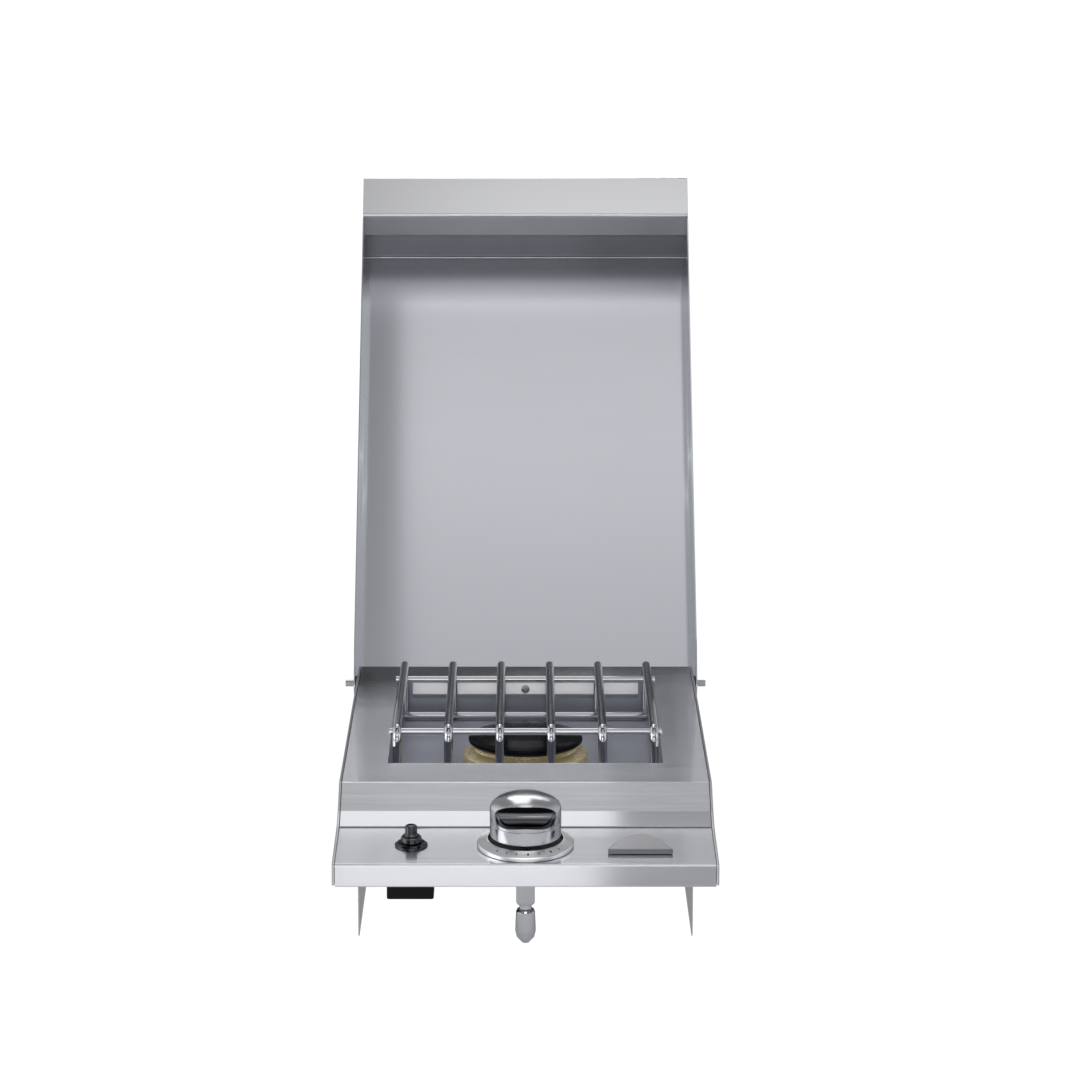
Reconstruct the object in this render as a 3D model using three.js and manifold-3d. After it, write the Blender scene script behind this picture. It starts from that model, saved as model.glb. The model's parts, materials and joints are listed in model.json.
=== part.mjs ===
// Built-in side burner: a drop-in gas burner for an outdoor kitchen counter.
// Millimetres, +Z up, +X to the user's right, the user stands at -Y.
// Construction datum: the lid's hinge axis. DY and DZ move the datum so that the
// origin is the centre of the bottom of the whole object's box.
import * as THREE from 'three';
import { mergeVertices } from 'three/addons/utils/BufferGeometryUtils.js';
import Module from 'manifold-3d';

const wasm = await Module();
wasm.setup();

// ---------------------------------------------------------------- dimensions
const T = 1.2;               // sheet thickness
const GAP = 0.3;             // play between touching pieces
const BODY_W = 343;          // body, outside the side plates (13 1/2 in)
const SIDE_T = 2.5;          // hemmed side plate
const DECK_Z = 10.5;         // deck surface above the hinge axis
const DECK_REAR = 31;        // deck's rear edge behind the hinge axis
const DECK_FRONT = -398;     // deck's front fold
const F1 = [-430, -7.6];     // foot of the upper front face
const F2 = [-450.8, -15.6];  // lower edge of the upper front face
const P2 = [-450.26, -17];   // back of the control panel's working face, tucked under it
const F3 = [-543, -22.8];    // front fold of the control panel
const F4 = [-546, -42];      // bottom of the side plates' front end
const P4 = [-546, -43];      // bottom of the front lip
const REST_Z = -42;          // underside of the counter flange
const CUT_W = 310;           // lower box, outside
const BOX_FRONT = -400;      // front edge of the lower side plates
const BOX_REAR = -20;
const BOX_Z = -137;          // bottom edge of the lower box
const WELL_HX = 129;         // half width of the deck opening
const WELL_Y0 = -334;        // front edge of the deck opening
const WELL_Y1 = -10;         // rear edge of the deck opening
const FLOOR_Z = -30;         // burner pan floor
const BURNER_Y = -190;
const ROD_R = 4.2;           // grate rod
const ROD_PITCH = 48.9;
const ROD_Z = 26.25;         // rod centre line
const ROD_Y0 = -277;         // front legs
const ROD_Y1 = -23;          // rear legs
const BAR_R = 3.4;
const BAR_HX = 130;
const REST_SCREW_Z = -2.4;
const PANEL_Y = -496.2;        // line of the controls on the panel
const KNOB_R = 32;
const BEZEL_R = 43.5;
const CTRL_X = 102.3;        // igniter at -X, badge at +X
const LID_W = 351;           // lid, outside
const LID_OPEN = 127.4;      // degrees from shut
const LID_TOP = 80;          // lid's skin above the hinge axis when shut
const LID_EDGE = 14.9;       // free edge below the hinge axis when shut
const LID_FRONT = 542;       // front wall ahead of the hinge axis
const LID_FOOT = 540;        // foot of the front wall
const LIP = 47.5;            // handle lip
const PIN_R = 3.4;
const BETA = Math.atan2(P2[1] - F3[1], P2[0] - F3[0]);   // panel slope
const DY = 75.785, DZ = 137;   // datum in the part's frame

// ---------------------------------------------------------------- helpers
const M = (...e) => new THREE.Matrix4().set(...e);
const YZ_TO_X = M(0, 0, 1, 0, 1, 0, 0, 0, 0, 1, 0, 0, 0, 0, 0, 1);   // outline in (Y,Z), thickness along +X
const XZ_TO_Y = M(1, 0, 0, 0, 0, 0, -1, 0, 0, 1, 0, 0, 0, 0, 0, 1);  // outline in (X,Z), thickness along -Y

function solid(geom) {
  const g = geom.clone();
  g.deleteAttribute('normal');
  g.deleteAttribute('uv');
  const m = mergeVertices(g, 1e-4);
  const idx = m.index ? Uint32Array.from(m.index.array) : Uint32Array.from([...Array(m.attributes.position.count).keys()]);
  return new wasm.Manifold(new wasm.Mesh({
    numProp: 3, vertProperties: Float32Array.from(m.attributes.position.array), triVerts: idx,
  }));
}
function geometry(man) {
  const mesh = man.getMesh();
  const g = new THREE.BufferGeometry();
  g.setAttribute('position', new THREE.BufferAttribute(Float32Array.from(mesh.vertProperties), 3));
  g.setIndex(new THREE.BufferAttribute(Uint32Array.from(mesh.triVerts), 1));
  return g;
}
function shape(pts, holes = []) {
  const s = new THREE.Shape(pts.map(p => new THREE.Vector2(p[0], p[1])));
  for (const h of holes) {
    const path = new THREE.Path();
    if (h.r) path.absarc(h.x, h.y, h.r, 0, Math.PI * 2, false);
    else path.setFromPoints(h.map(p => new THREE.Vector2(p[0], p[1])));
    s.holes.push(path);
  }
  return s;
}
const plate = (pts, t, holes = [], seg = 12) =>
  new THREE.ExtrudeGeometry(shape(pts, holes), { depth: t, bevelEnabled: false, curveSegments: seg });
const profileX = (pts, x0, x1, holes = [], seg = 12) =>
  plate(pts, x1 - x0, holes, seg).applyMatrix4(YZ_TO_X).translate(x0, 0, 0);
const profileY = (pts, y0, y1, holes = [], seg = 12) =>
  plate(pts, y1 - y0, holes, seg).applyMatrix4(XZ_TO_Y).translate(0, y1, 0);
const rect = (x0, y0, x1, y1) => [[x0, y0], [x1, y0], [x1, y1], [x0, y1]];
const box = (x0, y0, z0, x1, y1, z1) =>
  new THREE.BoxGeometry(x1 - x0, y1 - y0, z1 - z0).translate((x0 + x1) / 2, (y0 + y1) / 2, (z0 + z1) / 2);
function lathe(profile, seg = 40) {          // profile: [radius, z] pairs
  return new THREE.LatheGeometry(profile.map(p => new THREE.Vector2(p[0], p[1])), seg).rotateX(Math.PI / 2);
}
function cyl(r, z0, z1, seg = 24) {
  return new THREE.CylinderGeometry(r, r, z1 - z0, seg).rotateX(Math.PI / 2).translate(0, 0, (z0 + z1) / 2);
}
function cylX(r, x0, x1, y, z, seg = 16) {
  return new THREE.CylinderGeometry(r, r, x1 - x0, seg).rotateZ(Math.PI / 2).translate((x0 + x1) / 2, y, z);
}
function cylY(r, y0, y1, x, z, seg = 16) {
  return new THREE.CylinderGeometry(r, r, y1 - y0, seg).translate(x, (y0 + y1) / 2, z);
}
const hex = (af, z0, z1) => new THREE.CylinderGeometry(af / Math.sqrt(3), af / Math.sqrt(3), z1 - z0, 6)
  .rotateX(Math.PI / 2).translate(0, 0, (z0 + z1) / 2);
function sheet(line, t) {                    // folded strip: outer line, thickness to its right-hand side
  const n = line.length, off = [];
  const nor = (a, b) => { const dx = b[0] - a[0], dy = b[1] - a[1], l = Math.hypot(dx, dy); return [dy / l, -dx / l]; };
  for (let i = 0; i < n; i++) {
    const n1 = i > 0 ? nor(line[i - 1], line[i]) : nor(line[0], line[1]);
    const n2 = i < n - 1 ? nor(line[i], line[i + 1]) : n1;
    const k = 1 + n1[0] * n2[0] + n1[1] * n2[1];
    off.push([line[i][0] + t * (n1[0] + n2[0]) / k, line[i][1] + t * (n1[1] + n2[1]) / k]);
  }
  return [...line, ...off.reverse()];
}
function tube(points, r, sides, steps, closedPath) {
  const c = closedPath || new THREE.CatmullRomCurve3(points.map(p => new THREE.Vector3(...p)), false, 'centripetal');
  const s = new THREE.Shape();
  for (let i = 0; i < sides; i++) {
    const a = (i + 0.5) / sides * Math.PI * 2;
    i ? s.lineTo(r * Math.cos(a), r * Math.sin(a)) : s.moveTo(r * Math.cos(a), r * Math.sin(a));
  }
  return new THREE.ExtrudeGeometry(s, { steps, extrudePath: c, bevelEnabled: false });
}
const union = (...g) => geometry(g.map(x => (x instanceof THREE.BufferGeometry ? solid(x) : x)).reduce((a, b) => a.add(b)));
const cut = (g, ...c) => geometry(c.reduce((a, b) => a.subtract(solid(b)), solid(g)));

// ---------------------------------------------------------------- materials
const mat = (color, roughness, metalness) => new THREE.MeshStandardMaterial({ color, roughness, metalness });
const STEEL = () => mat(0xb9bbc0, 0.34, 1);
const STEEL_DARK = () => mat(0x9a9da3, 0.42, 1);
const CHROME = () => mat(0xd8dade, 0.08, 1);
const BRASS = () => mat(0xc79a4b, 0.3, 1);
const IRON = () => mat(0x1b1c20, 0.35, 0.2);
const BLACK = () => mat(0x0d0d0e, 0.55, 0);
const CERAMIC = () => mat(0xe9e6dc, 0.4, 0);
const ZINC = () => mat(0x8f9297, 0.4, 1);

const root = new THREE.Group();
const frame = new THREE.Group();
frame.position.set(0, DY, DZ);
root.add(frame);
function add(parent, name, geom, material) {
  const m = new THREE.Mesh(geom, material);
  m.name = name;
  parent.add(m);
  return m;
}

// ---------------------------------------------------------------- body
const inX = BODY_W / 2 - SIDE_T - GAP;       // inside of the side plates less the play

// deck: rear return, flat top with the opening, two sloped front faces
{
  const line = [[DECK_REAR - 1.8, -14], [DECK_REAR - 1.8, DECK_Z], [DECK_FRONT, DECK_Z], F1, F2];
  const g = profileX(sheet([...line].reverse(), T), -inX, inX);
  add(frame, 'deck_top', cut(g, box(-WELL_HX, WELL_Y0, DECK_Z - 10, WELL_HX, WELL_Y1, DECK_Z + 10)), STEEL());
}
// side plates: hemmed edge following the deck and panel, with the counter flange turned in
const SIDE = [[DECK_REAR, DECK_Z], [DECK_REAR, REST_Z], F4, F3, F2, F1, [DECK_FRONT, DECK_Z]];
for (const [s, n] of [[-1, 'left'], [1, 'right']]) {
  const x0 = s > 0 ? BODY_W / 2 - SIDE_T : -BODY_W / 2;
  const p = profileX(SIDE, x0, x0 + SIDE_T, [{ x: 0, y: 0, r: PIN_R + 0.1 }], 12);
  const f0 = s > 0 ? CUT_W / 2 + GAP : -BODY_W / 2 + 1, f1 = s > 0 ? BODY_W / 2 - 1 : -CUT_W / 2 - GAP;
  const f = box(f0, F4[0] + 16, REST_Z, f1, DECK_REAR - 1, REST_Z + T);
  add(frame, `side_plate_${n}`, union(p, f), STEEL());
}
// body's rear panel
add(frame, 'rear_panel', profileX(sheet([[DECK_REAR - 14, REST_Z + T + GAP], [DECK_REAR - 3.4, REST_Z + T + GAP], [DECK_REAR - 3.4, 7]], -T)
  , -inX, inX), STEEL_DARK());

// control panel: tab tucked under the deck's lower front face, working face, front lip, bottom return
const panelPt = (y) => P2[1] + (y - P2[0]) * Math.tan(BETA);
{
  const tab = [P2[0] + (F1[0] - F2[0]) * 0.8, P2[1] + (F1[1] - F2[1]) * 0.8];
  const line = [tab, P2, F3, P4, [P4[0] + 14, P4[1]]];
  let g = solid(profileX(sheet([...line], -T), -inX, inX));
  const drill = (x, r) => solid(cyl(r, -20, 20, 28).rotateX(BETA).translate(x, PANEL_Y, panelPt(PANEL_Y)));
  g = g.subtract(drill(0, 7)).subtract(drill(-CTRL_X, 8.4)).subtract(drill(CTRL_X - 8, 1.8)).subtract(drill(CTRL_X + 8, 1.8));
  add(frame, 'control_panel', geometry(g), STEEL());
}

// burner pan: floor with the burner's neck hole, four walls with a flange under the deck
{
  const z0 = FLOOR_Z - T, z1 = DECK_Z - T - GAP, wx = WELL_HX - GAP;
  add(frame, 'burner_pan', cut(box(-wx, WELL_Y0 + GAP, z0, wx, WELL_Y1 - GAP, FLOOR_Z),
    cyl(21, FLOOR_Z - 5, FLOOR_Z + 5, 32).translate(0, BURNER_Y, 0),
    cyl(4.4, FLOOR_Z - 5, FLOOR_Z + 5, 16).translate(52, BURNER_Y + 46, 0)), STEEL_DARK());
  for (const [s, n] of [[-1, 'left'], [1, 'right']]) {
    const X = (a, b) => (s > 0 ? [a, b] : [-b, -a]);
    const [a0, a1] = X(WELL_HX, WELL_HX + T), [b0, b1] = X(WELL_HX, WELL_HX + 13);
    add(frame, `pan_wall_${n}`, union(box(a0, WELL_Y0 - T, z0, a1, WELL_Y1 + T, z1 - T / 2), box(b0, WELL_Y0 - 13, z1 - T, b1, WELL_Y1 + 13, z1)), STEEL_DARK());
  }
  add(frame, 'pan_wall_front', union(box(-wx, WELL_Y0 - T, z0, wx, WELL_Y0, z1 - T / 2), box(-wx, WELL_Y0 - 13, z1 - T, wx, WELL_Y0, z1)), STEEL_DARK());
  add(frame, 'pan_wall_rear', cut(union(box(-wx, WELL_Y1, z0, wx, WELL_Y1 + T, z1 - T / 2), box(-wx, WELL_Y1, z1 - T, wx, WELL_Y1 + 13, z1)),
    cylY(2.2, WELL_Y1 - 5, WELL_Y1 + 5, 0, REST_SCREW_Z, 12)), STEEL_DARK());
}
// grate rest: bent strip across the pan's rear wall, held by one screw
{
  const y = WELL_Y1 - GAP;
  const g = cut(profileX(sheet([[y, 6], [y - 1.2, 6], [y - 4.6, -8], [y - 1, -13]], -1.5), -114.8, 114.8),
    cylY(2.1, y - 12, y + 3, 0, REST_SCREW_Z, 12));
  add(frame, 'grate_rest', g, STEEL());
  add(frame, 'rest_screw', union(
    new THREE.LatheGeometry([[0, 3], [1.4, 2.8], [3.2, 2], [4.2, 0.6], [4.2, 0], [0, 0]].map(p => new THREE.Vector2(...p)).reverse(), 20)
      .rotateX(Math.PI).translate(0, y - 4.9, REST_SCREW_Z),
    cylY(1.8, y - 5.3, WELL_Y1 + 6, 0, REST_SCREW_Z, 12)), ZINC());
}
// lower box
for (const [s, n] of [[-1, 'left'], [1, 'right']]) {
  const x0 = s > 0 ? CUT_W / 2 - T : -CUT_W / 2;
  add(frame, `box_side_${n}`, profileX(rect(BOX_FRONT, BOX_Z, BOX_REAR, 3), x0, x0 + T), STEEL());
}
add(frame, 'box_rear', box(-CUT_W / 2 + T + GAP, BOX_REAR - T, BOX_Z, CUT_W / 2 - T - GAP, BOX_REAR, -36), STEEL_DARK());
add(frame, 'heat_shield', cut(
  profileX(sheet([[-346, -70], [-338, -97], [-60, -97], [-52, -70]], T), -CUT_W / 2 + T + GAP, CUT_W / 2 - T - GAP),
  box(-26, -360, -120, 26, -232, -60)), STEEL_DARK());


// ---------------------------------------------------------------- grate
// six bent rods on two saddled cross bars, with a low bar joining the rear legs
{
  const b0 = 11, b1 = 6.5, n = 4;
  const foot = FLOOR_Z + GAP + 0.1;
  // stations: straight runs need only their ends, the bends need a few
  const pts = [];
  const arc = (c) => { for (let k = 0; k <= n; k++) pts.push(c(k / n * Math.PI / 2)); };
  pts.push([ROD_Y0, foot]);
  arc(a => [ROD_Y0 + b0 - b0 * Math.cos(a), ROD_Z - b0 + b0 * Math.sin(a)]);
  arc(a => [ROD_Y1 - b1 + b1 * Math.sin(a), ROD_Z - b1 + b1 * Math.cos(a)]);
  pts.push([ROD_Y1, foot]);
  const xs = [0, 1, 2, 3, 4, 5].map(i => (i - 2.5) * ROD_PITCH);
  xs.forEach((x, i) => add(frame, `grate_rod_${i + 1}`, sweepYZ(pts, x, ROD_R, 10), CHROME()));
  const bar = (y, z) => geometry(xs.reduce((g, x) => g.subtract(solid(sweepYZ(pts, x, ROD_R + 0.35, 10))), solid(cylX(BAR_R, -BAR_HX, BAR_HX, y, z, 12))));
  add(frame, 'grate_bar_front', bar(ROD_Y0 + 9.5, 22.6), CHROME());
  add(frame, 'grate_bar_rear', bar(-63, 20.5), CHROME());
  add(frame, 'grate_bar_low', cylX(BAR_R, -2.5 * ROD_PITCH, 2.5 * ROD_PITCH, ROD_Y1 - 7.95, -25.6, 12), CHROME());
}
// sweep of a round section along a planar path in Y and Z
function sweepYZ(pts, x, r, sides) {
  const pos = [], idx = [];
  const n = pts.length;
  for (let i = 0; i < n; i++) {
    const a = pts[Math.max(i - 1, 0)], b = pts[i], c = pts[Math.min(i + 1, n - 1)];
    const d1 = i > 0 ? [b[0] - a[0], b[1] - a[1]] : [c[0] - b[0], c[1] - b[1]];
    const d2 = i < n - 1 ? [c[0] - b[0], c[1] - b[1]] : d1;
    const u = (d) => { const l = Math.hypot(...d); return [d[0] / l, d[1] / l]; };
    const u1 = u(d1), u2 = u(d2);
    const t = u([u1[0] + u2[0], u1[1] + u2[1]]);
    const k = 1 / Math.max(0.5, t[0] * u1[0] + t[1] * u1[1]);
    const nrm = [-t[1] * k, t[0] * k];
    for (let j = 0; j < sides; j++) {
      const w = (j + 0.5) / sides * Math.PI * 2;
      pos.push(x + r * Math.cos(w), b[0] + r * Math.sin(w) * nrm[0], b[1] + r * Math.sin(w) * nrm[1]);
    }
  }
  for (let i = 0; i < n - 1; i++) for (let j = 0; j < sides; j++) {
    const k = (j + 1) % sides, p = i * sides, q = p + sides;
    idx.push(p + j, q + j, p + k, p + k, q + j, q + k);
  }
  for (let j = 1; j < sides - 1; j++) {
    idx.push(0, j, j + 1);
    const q = (n - 1) * sides;
    idx.push(q, q + j + 1, q + j);
  }
  const g = new THREE.BufferGeometry();
  g.setAttribute('position', new THREE.BufferAttribute(new Float32Array(pos), 3));
  g.setIndex(idx);
  return g;
}

// ---------------------------------------------------------------- burner
const at = (g, x, y, z) => g.translate(x, y, z);
add(frame, 'burner_base', at(lathe([[17, -29.6], [54, -29.6], [60, -27.2], [61.9, -23.6], [60.6, -19.6], [56, -16.4], [50.5, -14.6],
  [49, -12.6], [49, -10.6], [17, -10.6], [17, -29.6]], 48), 0, BURNER_Y, 0), BRASS());
add(frame, 'burner_cap', at(lathe([[0, -10.3], [47, -10.3], [52.5, -9.6], [55.8, -6.6], [55.4, -3.8], [53.4, -2.4], [42, 0.8],
  [24, 4.2], [0, 5.8]], 48), 0, BURNER_Y, 0), IRON());
const JET_Z = -47;
{
  const tubeO = solid(cylY(13, -462, BURNER_Y + 15, 0, JET_Z, 24));
  const neckO = solid(at(cyl(16, JET_Z - 8, -12, 24), 0, BURNER_Y, 0));
  const tubeI = solid(cylY(11, -470, BURNER_Y + 8, 0, JET_Z, 24));
  const neckI = solid(at(cyl(13, JET_Z - 2, 0, 24), 0, BURNER_Y, 0));
  const slot = solid(box(-30, -455, JET_Z - 5, 30, -437, JET_Z + 5));
  add(frame, 'mixing_tube', geometry(tubeO.add(neckO).subtract(tubeI).subtract(neckI).subtract(slot)), ZINC());
  // air shutter: a turned sleeve over the mixing tube's air slots
  add(frame, 'air_shutter', geometry(solid(cylY(14.6, -460, -434, 0, JET_Z, 24)).subtract(solid(cylY(13.3, -466, -430, 0, JET_Z, 24)))
    .subtract(solid(box(-30, -452, JET_Z - 3, 30, -443, JET_Z + 3)))), STEEL_DARK());
  // strap that hangs the mixing tube from the pan
  const st = solid(box(-22, -300, FLOOR_Z - T - GAP - 1.5, 22, -286, FLOOR_Z - T - GAP))
    .add(solid(box(-22, -300, -61, -20.5, -286, FLOOR_Z - T - GAP - 0.5))).add(solid(box(20.5, -300, -61, 22, -286, FLOOR_Z - T - GAP - 0.5)))
    .add(solid(box(-22, -300, -62, 22, -286, -60.3)));
  add(frame, 'tube_strap', geometry(st), STEEL_DARK());
}
add(frame, 'electrode', union(at(cyl(3.4, -62, -17, 16), 52, BURNER_Y + 46, 0), at(cyl(5.6, FLOOR_Z + 0.3, FLOOR_Z + 3.2, 16), 52, BURNER_Y + 46, 0)), CERAMIC());
add(frame, 'electrode_tip', union(at(cyl(1.1, -16.7, -9.5, 10), 52, BURNER_Y + 46, 0),
  box(45.5, BURNER_Y + 45, -11.4, 52.5, BURNER_Y + 47, -9.5)), ZINC());

// ---------------------------------------------------------------- controls, on the sloped panel
const panel = new THREE.Group();
panel.position.set(0, PANEL_Y, panelPt(PANEL_Y));
panel.rotation.x = BETA;
frame.add(panel);
add(panel, 'knob_bezel', lathe([[9, 0.3], [BEZEL_R, 0.3], [BEZEL_R, 3.2], [BEZEL_R - 1, 4.2], [34.8, 7.8], [33.6, 7.8], [33.4, 4], [9, 4], [9, 0.3]], 56), CHROME());
// knob: hollow shell with a domed top, a ring groove and one finger recess facing the user
{
  const body = solid(lathe([[0, 14.5], [8, 14.5], [8, 26], [28.4, 26], [28.4, 11], [KNOB_R, 11], [KNOB_R + 0.1, 13], [KNOB_R, 22.7], [KNOB_R - 1.1, 23.1], [KNOB_R - 1.1, 24],
    [KNOB_R, 24.4], [KNOB_R, 36.6], [31.2, 38.8], [29.5, 41], [26.4, 43.4], [22, 45.6], [16, 47.6], [8, 49], [0, 49.4]], 48));
  const D = [[-24.5, 62]];
  for (let k = 0; k <= 6; k++) { const a = Math.PI + k / 12 * Math.PI; D.push([-13.5 + 11 * Math.cos(a), 38.5 + 11 * Math.sin(a)]); }
  for (let k = 0; k <= 6; k++) { const a = 1.5 * Math.PI + k / 12 * Math.PI; D.push([13.5 + 11 * Math.cos(a), 38.5 + 11 * Math.sin(a)]); }
  D.push([24.5, 62]);
  const recess = solid(profileY(D, -40, 0)).intersect(solid(cylX(9.5, -30, 30, -26.5, 35.4, 40)));
  const bore = solid(cyl(4.3, 10, 32, 20));
  add(panel, 'knob', geometry(body.subtract(recess).subtract(bore)), CHROME());
}
add(panel, 'valve_stem', cut(cyl(4, -17.6, 31.6, 20), box(2.9, -6, 16, 6, 6, 40)), ZINC());
add(panel, 'stem_retainer', lathe([[4.3, -4.4], [9.2, -4.4], [9.2, -3], [4.3, -3], [4.3, -4.4]], 24), STEEL_DARK());
function coil(r, wire, z0, z1, turns, sides, per) {
  class H extends THREE.Curve {
    getPoint(t, out = new THREE.Vector3()) {
      const a = t * turns * Math.PI * 2;
      return out.set(r * Math.cos(a), r * Math.sin(a), z0 + wire + (z1 - z0 - 2 * wire) * t);
    }
  }
  return tube(null, wire, sides, Math.round(turns * per), new H());
}
add(panel, 'stem_spring', coil(6.2, 0.6, -12.4, -4.7, 3, 6, 14), STEEL_DARK());
{
  const b = solid(box(-14, -15, -27.5, 14, 16, -17.9)).add(solid(box(-7, 3, -31.5, 7, 16, -27))).add(solid(cyl(10.6, -18.2, -12.7, 24))).add(solid(box(-20, -6, -19, 20, 6, -16.4)))
    .subtract(solid(cyl(4.25, -22, 0, 20)));
  add(panel, 'gas_valve', geometry(b), BRASS());
}
for (const [s, n] of [[-1, 'left'], [1, 'right']])
  add(panel, `valve_screw_${n}`, union(at(cyl(1.6, -16.1, -1.5, 12), s * 17, 0, 0), at(hex(5.5, -15.9, -13.3), s * 17, 0, 0)), ZINC());
// injector: from the valve's back into the mixing tube's mouth
add(frame, 'injector', union(cylY(5, -476.5, -469, 0, JET_Z, 16), cylY(3, -470, -458, 0, JET_Z, 16)), BRASS());
// igniter
{
  const X = -CTRL_X;
  const ig = new THREE.Group();
  ig.position.x = X;
  panel.add(ig);
  add(ig, 'igniter_flange', lathe([[8.7, 0.3], [14.8, 0.3], [14.8, 1.5], [12.4, 3.4], [8.7, 3.4], [8.7, 0.3]], 32), CHROME());
  const h = solid(cyl(8.1, -28, 3.8, 28)).add(solid(lathe([[0, 3.7], [9.3, 3.7], [9.3, 7.8], [8.2, 9.4], [0, 9.4]], 32)))
    .subtract(solid(cyl(6.75, -10, 20, 28)));
  add(ig, 'igniter_housing', geometry(h), BLACK());
  add(ig, 'igniter_locknut', cut(hex(23, -5.4, -1.6), cyl(8.4, -10, 2, 24)), STEEL_DARK());
  add(ig, 'igniter_button', lathe([[0, -3], [6.5, -3], [6.5, 10.6], [5.4, 11.8], [5.4, 18.2], [4.5, 19.4], [0, 19.7]], 28), CHROME());
  add(ig, 'igniter_spring', coil(4.6, 0.45, -9.7, -3.3, 3, 6, 14), STEEL_DARK());
}
add(frame, 'ignition_module', box(-CTRL_X - 23.4, -472, -78.4, -CTRL_X + 19.2, -441, -24), BLACK());
add(frame, 'module_bracket', profileX(sheet([[-468, -22], [-439.2, -22], [-439.2, -60]], T), -CTRL_X - 10, -CTRL_X + 10), STEEL_DARK());
// half-moon badge: wedge with two studs
{
  const R = 28.8, pts = [[-R, 0]];
  for (let i = 0; i <= 28; i++) { const a = Math.PI - i / 28 * Math.PI; pts.push([R * Math.cos(a), 1.2 + (R - 0.5) * Math.sin(a) ** 2]); }
  pts.push([R, 0]);
  const body = solid(plate(pts.reverse(), 12).translate(0, 0, 0.3));
  const top = solid(box(-40, -20, 0, 40, 60, 20).rotateX(Math.atan2(3.6, R)).translate(0, 0, 5.2));
  const pin = (x) => solid(cyl(1.5, -6, 1.5, 12).translate(x, 23.3, 0));
  add(panel, 'badge', geometry(body.subtract(top).add(pin(-8)).add(pin(8)).translate(CTRL_X, -23.3, 0)), CHROME());
}
// gas inlet: nut under the valve, elbow turned to the rear, male flare end
{
  const y = -488;
  const v = (g) => at(g, 0, y, 0);
  add(frame, 'inlet_nut', union(v(lathe([[0, -77], [7.6, -77], [8.9, -75], [8.9, -70], [8.9, -56], [5.5, -55], [5.5, -51.5], [0, -51.5]], 24))), CHROME());
  const body = solid(v(lathe([[0, -113.6], [3.4, -113.4], [8.2, -107.6], [9.4, -102], [9.2, -96], [8.8, -84], [7.8, -81.6], [5.6, -81.2], [5.6, -77.3], [0, -77.3]], 12)))
    .add(solid(cylY(8.2, y, y + 24, 0, -101, 16))).add(solid(cylY(6.6, y + 20, y + 40, 0, -101, 16)))
    .subtract(solid(cylY(3.6, y + 12, y + 44, 0, -101, 12)));
  add(frame, 'inlet_elbow', geometry(body), CHROME());
}

// ---------------------------------------------------------------- hinge
for (const [s, n] of [[-1, 'left'], [1, 'right']]) {
  const X = (a, b) => (s > 0 ? [a, b] : [-b, -a]);
  add(frame, `hinge_pin_${n}`, union(cylX(PIN_R, ...X(162, 183.2), 0, 0, 24), cylX(PIN_R - 0.8, ...X(183, 184), 0, 0, 24),
    cylX(6.4, ...X(162, 168.6), 0, 0, 6)), ZINC());
  const ring = solid(cylX(7.5, ...X(171.8, 174), 0, 0, 24)).subtract(solid(cylX(PIN_R + 0.15, ...X(170, 176), 0, 0, 24)));
  add(frame, `hinge_washer_${n}`, geometry(ring), BLACK());
  add(frame, `lid_stop_${n}`, cylY(3.6, DECK_REAR - 3.1, DECK_REAR + 1.5, s * 120, -37, 16), BLACK());
}

// ---------------------------------------------------------------- lid, drawn shut and turned open
const lid = new THREE.Group();
lid.rotation.x = -LID_OPEN * Math.PI / 180;
frame.add(lid);
{
  const hx = LID_W / 2;
  const flange = (s) => {
    const pts = [[-12, LID_TOP + T], [12, 50], [9.6, -4.6], [-42.4, -LID_EDGE], [-LID_FOOT + 1.8, -LID_EDGE], [-LID_FRONT + 0.6, 31], [-LID_FRONT, 31], [-LID_FRONT, LID_TOP + T]];
    const x0 = s > 0 ? hx - T : -hx;
    return solid(profileX(pts, x0, x0 + T, [{ x: 0, y: 0, r: PIN_R + 0.1 }], 12));
  };
  const line = [[11.2, 50], [-12.5, LID_TOP + T], [-LID_FRONT - T, LID_TOP + T], [-LID_FRONT - T, 31]];
  const skin = solid(profileX(sheet(line, -T), -hx, hx));
  add(lid, 'lid_shell', geometry(skin.add(flange(-1)).add(flange(1))), STEEL());
  const h = [[-LID_FRONT - T, 30.7], [-LID_FOOT - T - 0.1, -LID_EDGE + T], [-LID_FOOT - LIP, -LID_EDGE + T], [-LID_FOOT - LIP, -LID_EDGE + T + 4]];
  add(lid, 'lid_handle', profileX(sheet(h, -T), -hx, hx), STEEL());
}

export default root;
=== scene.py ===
import json
import math

import bmesh
import bpy
from mathutils import Matrix, Vector


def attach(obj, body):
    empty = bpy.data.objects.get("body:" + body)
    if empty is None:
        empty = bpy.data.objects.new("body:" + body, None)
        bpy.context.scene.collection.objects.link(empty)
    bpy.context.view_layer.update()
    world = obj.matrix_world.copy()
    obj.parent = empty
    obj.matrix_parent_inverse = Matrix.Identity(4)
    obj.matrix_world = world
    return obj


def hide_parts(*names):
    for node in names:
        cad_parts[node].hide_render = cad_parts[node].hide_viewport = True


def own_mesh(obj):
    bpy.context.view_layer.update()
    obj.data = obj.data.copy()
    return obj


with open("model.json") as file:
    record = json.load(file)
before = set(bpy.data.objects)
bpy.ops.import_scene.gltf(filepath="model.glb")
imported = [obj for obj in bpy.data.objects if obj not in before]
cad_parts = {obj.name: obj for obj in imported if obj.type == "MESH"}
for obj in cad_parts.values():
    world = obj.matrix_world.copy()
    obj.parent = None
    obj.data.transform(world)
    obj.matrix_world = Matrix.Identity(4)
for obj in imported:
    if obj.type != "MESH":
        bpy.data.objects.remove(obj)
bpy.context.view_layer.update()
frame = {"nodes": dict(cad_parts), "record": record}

# ------------------------------------------------------------------ dimensions
# Millimetres from the lid's hinge axis, as the solids are drawn.
T, GAP = 1.2, 0.3
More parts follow.
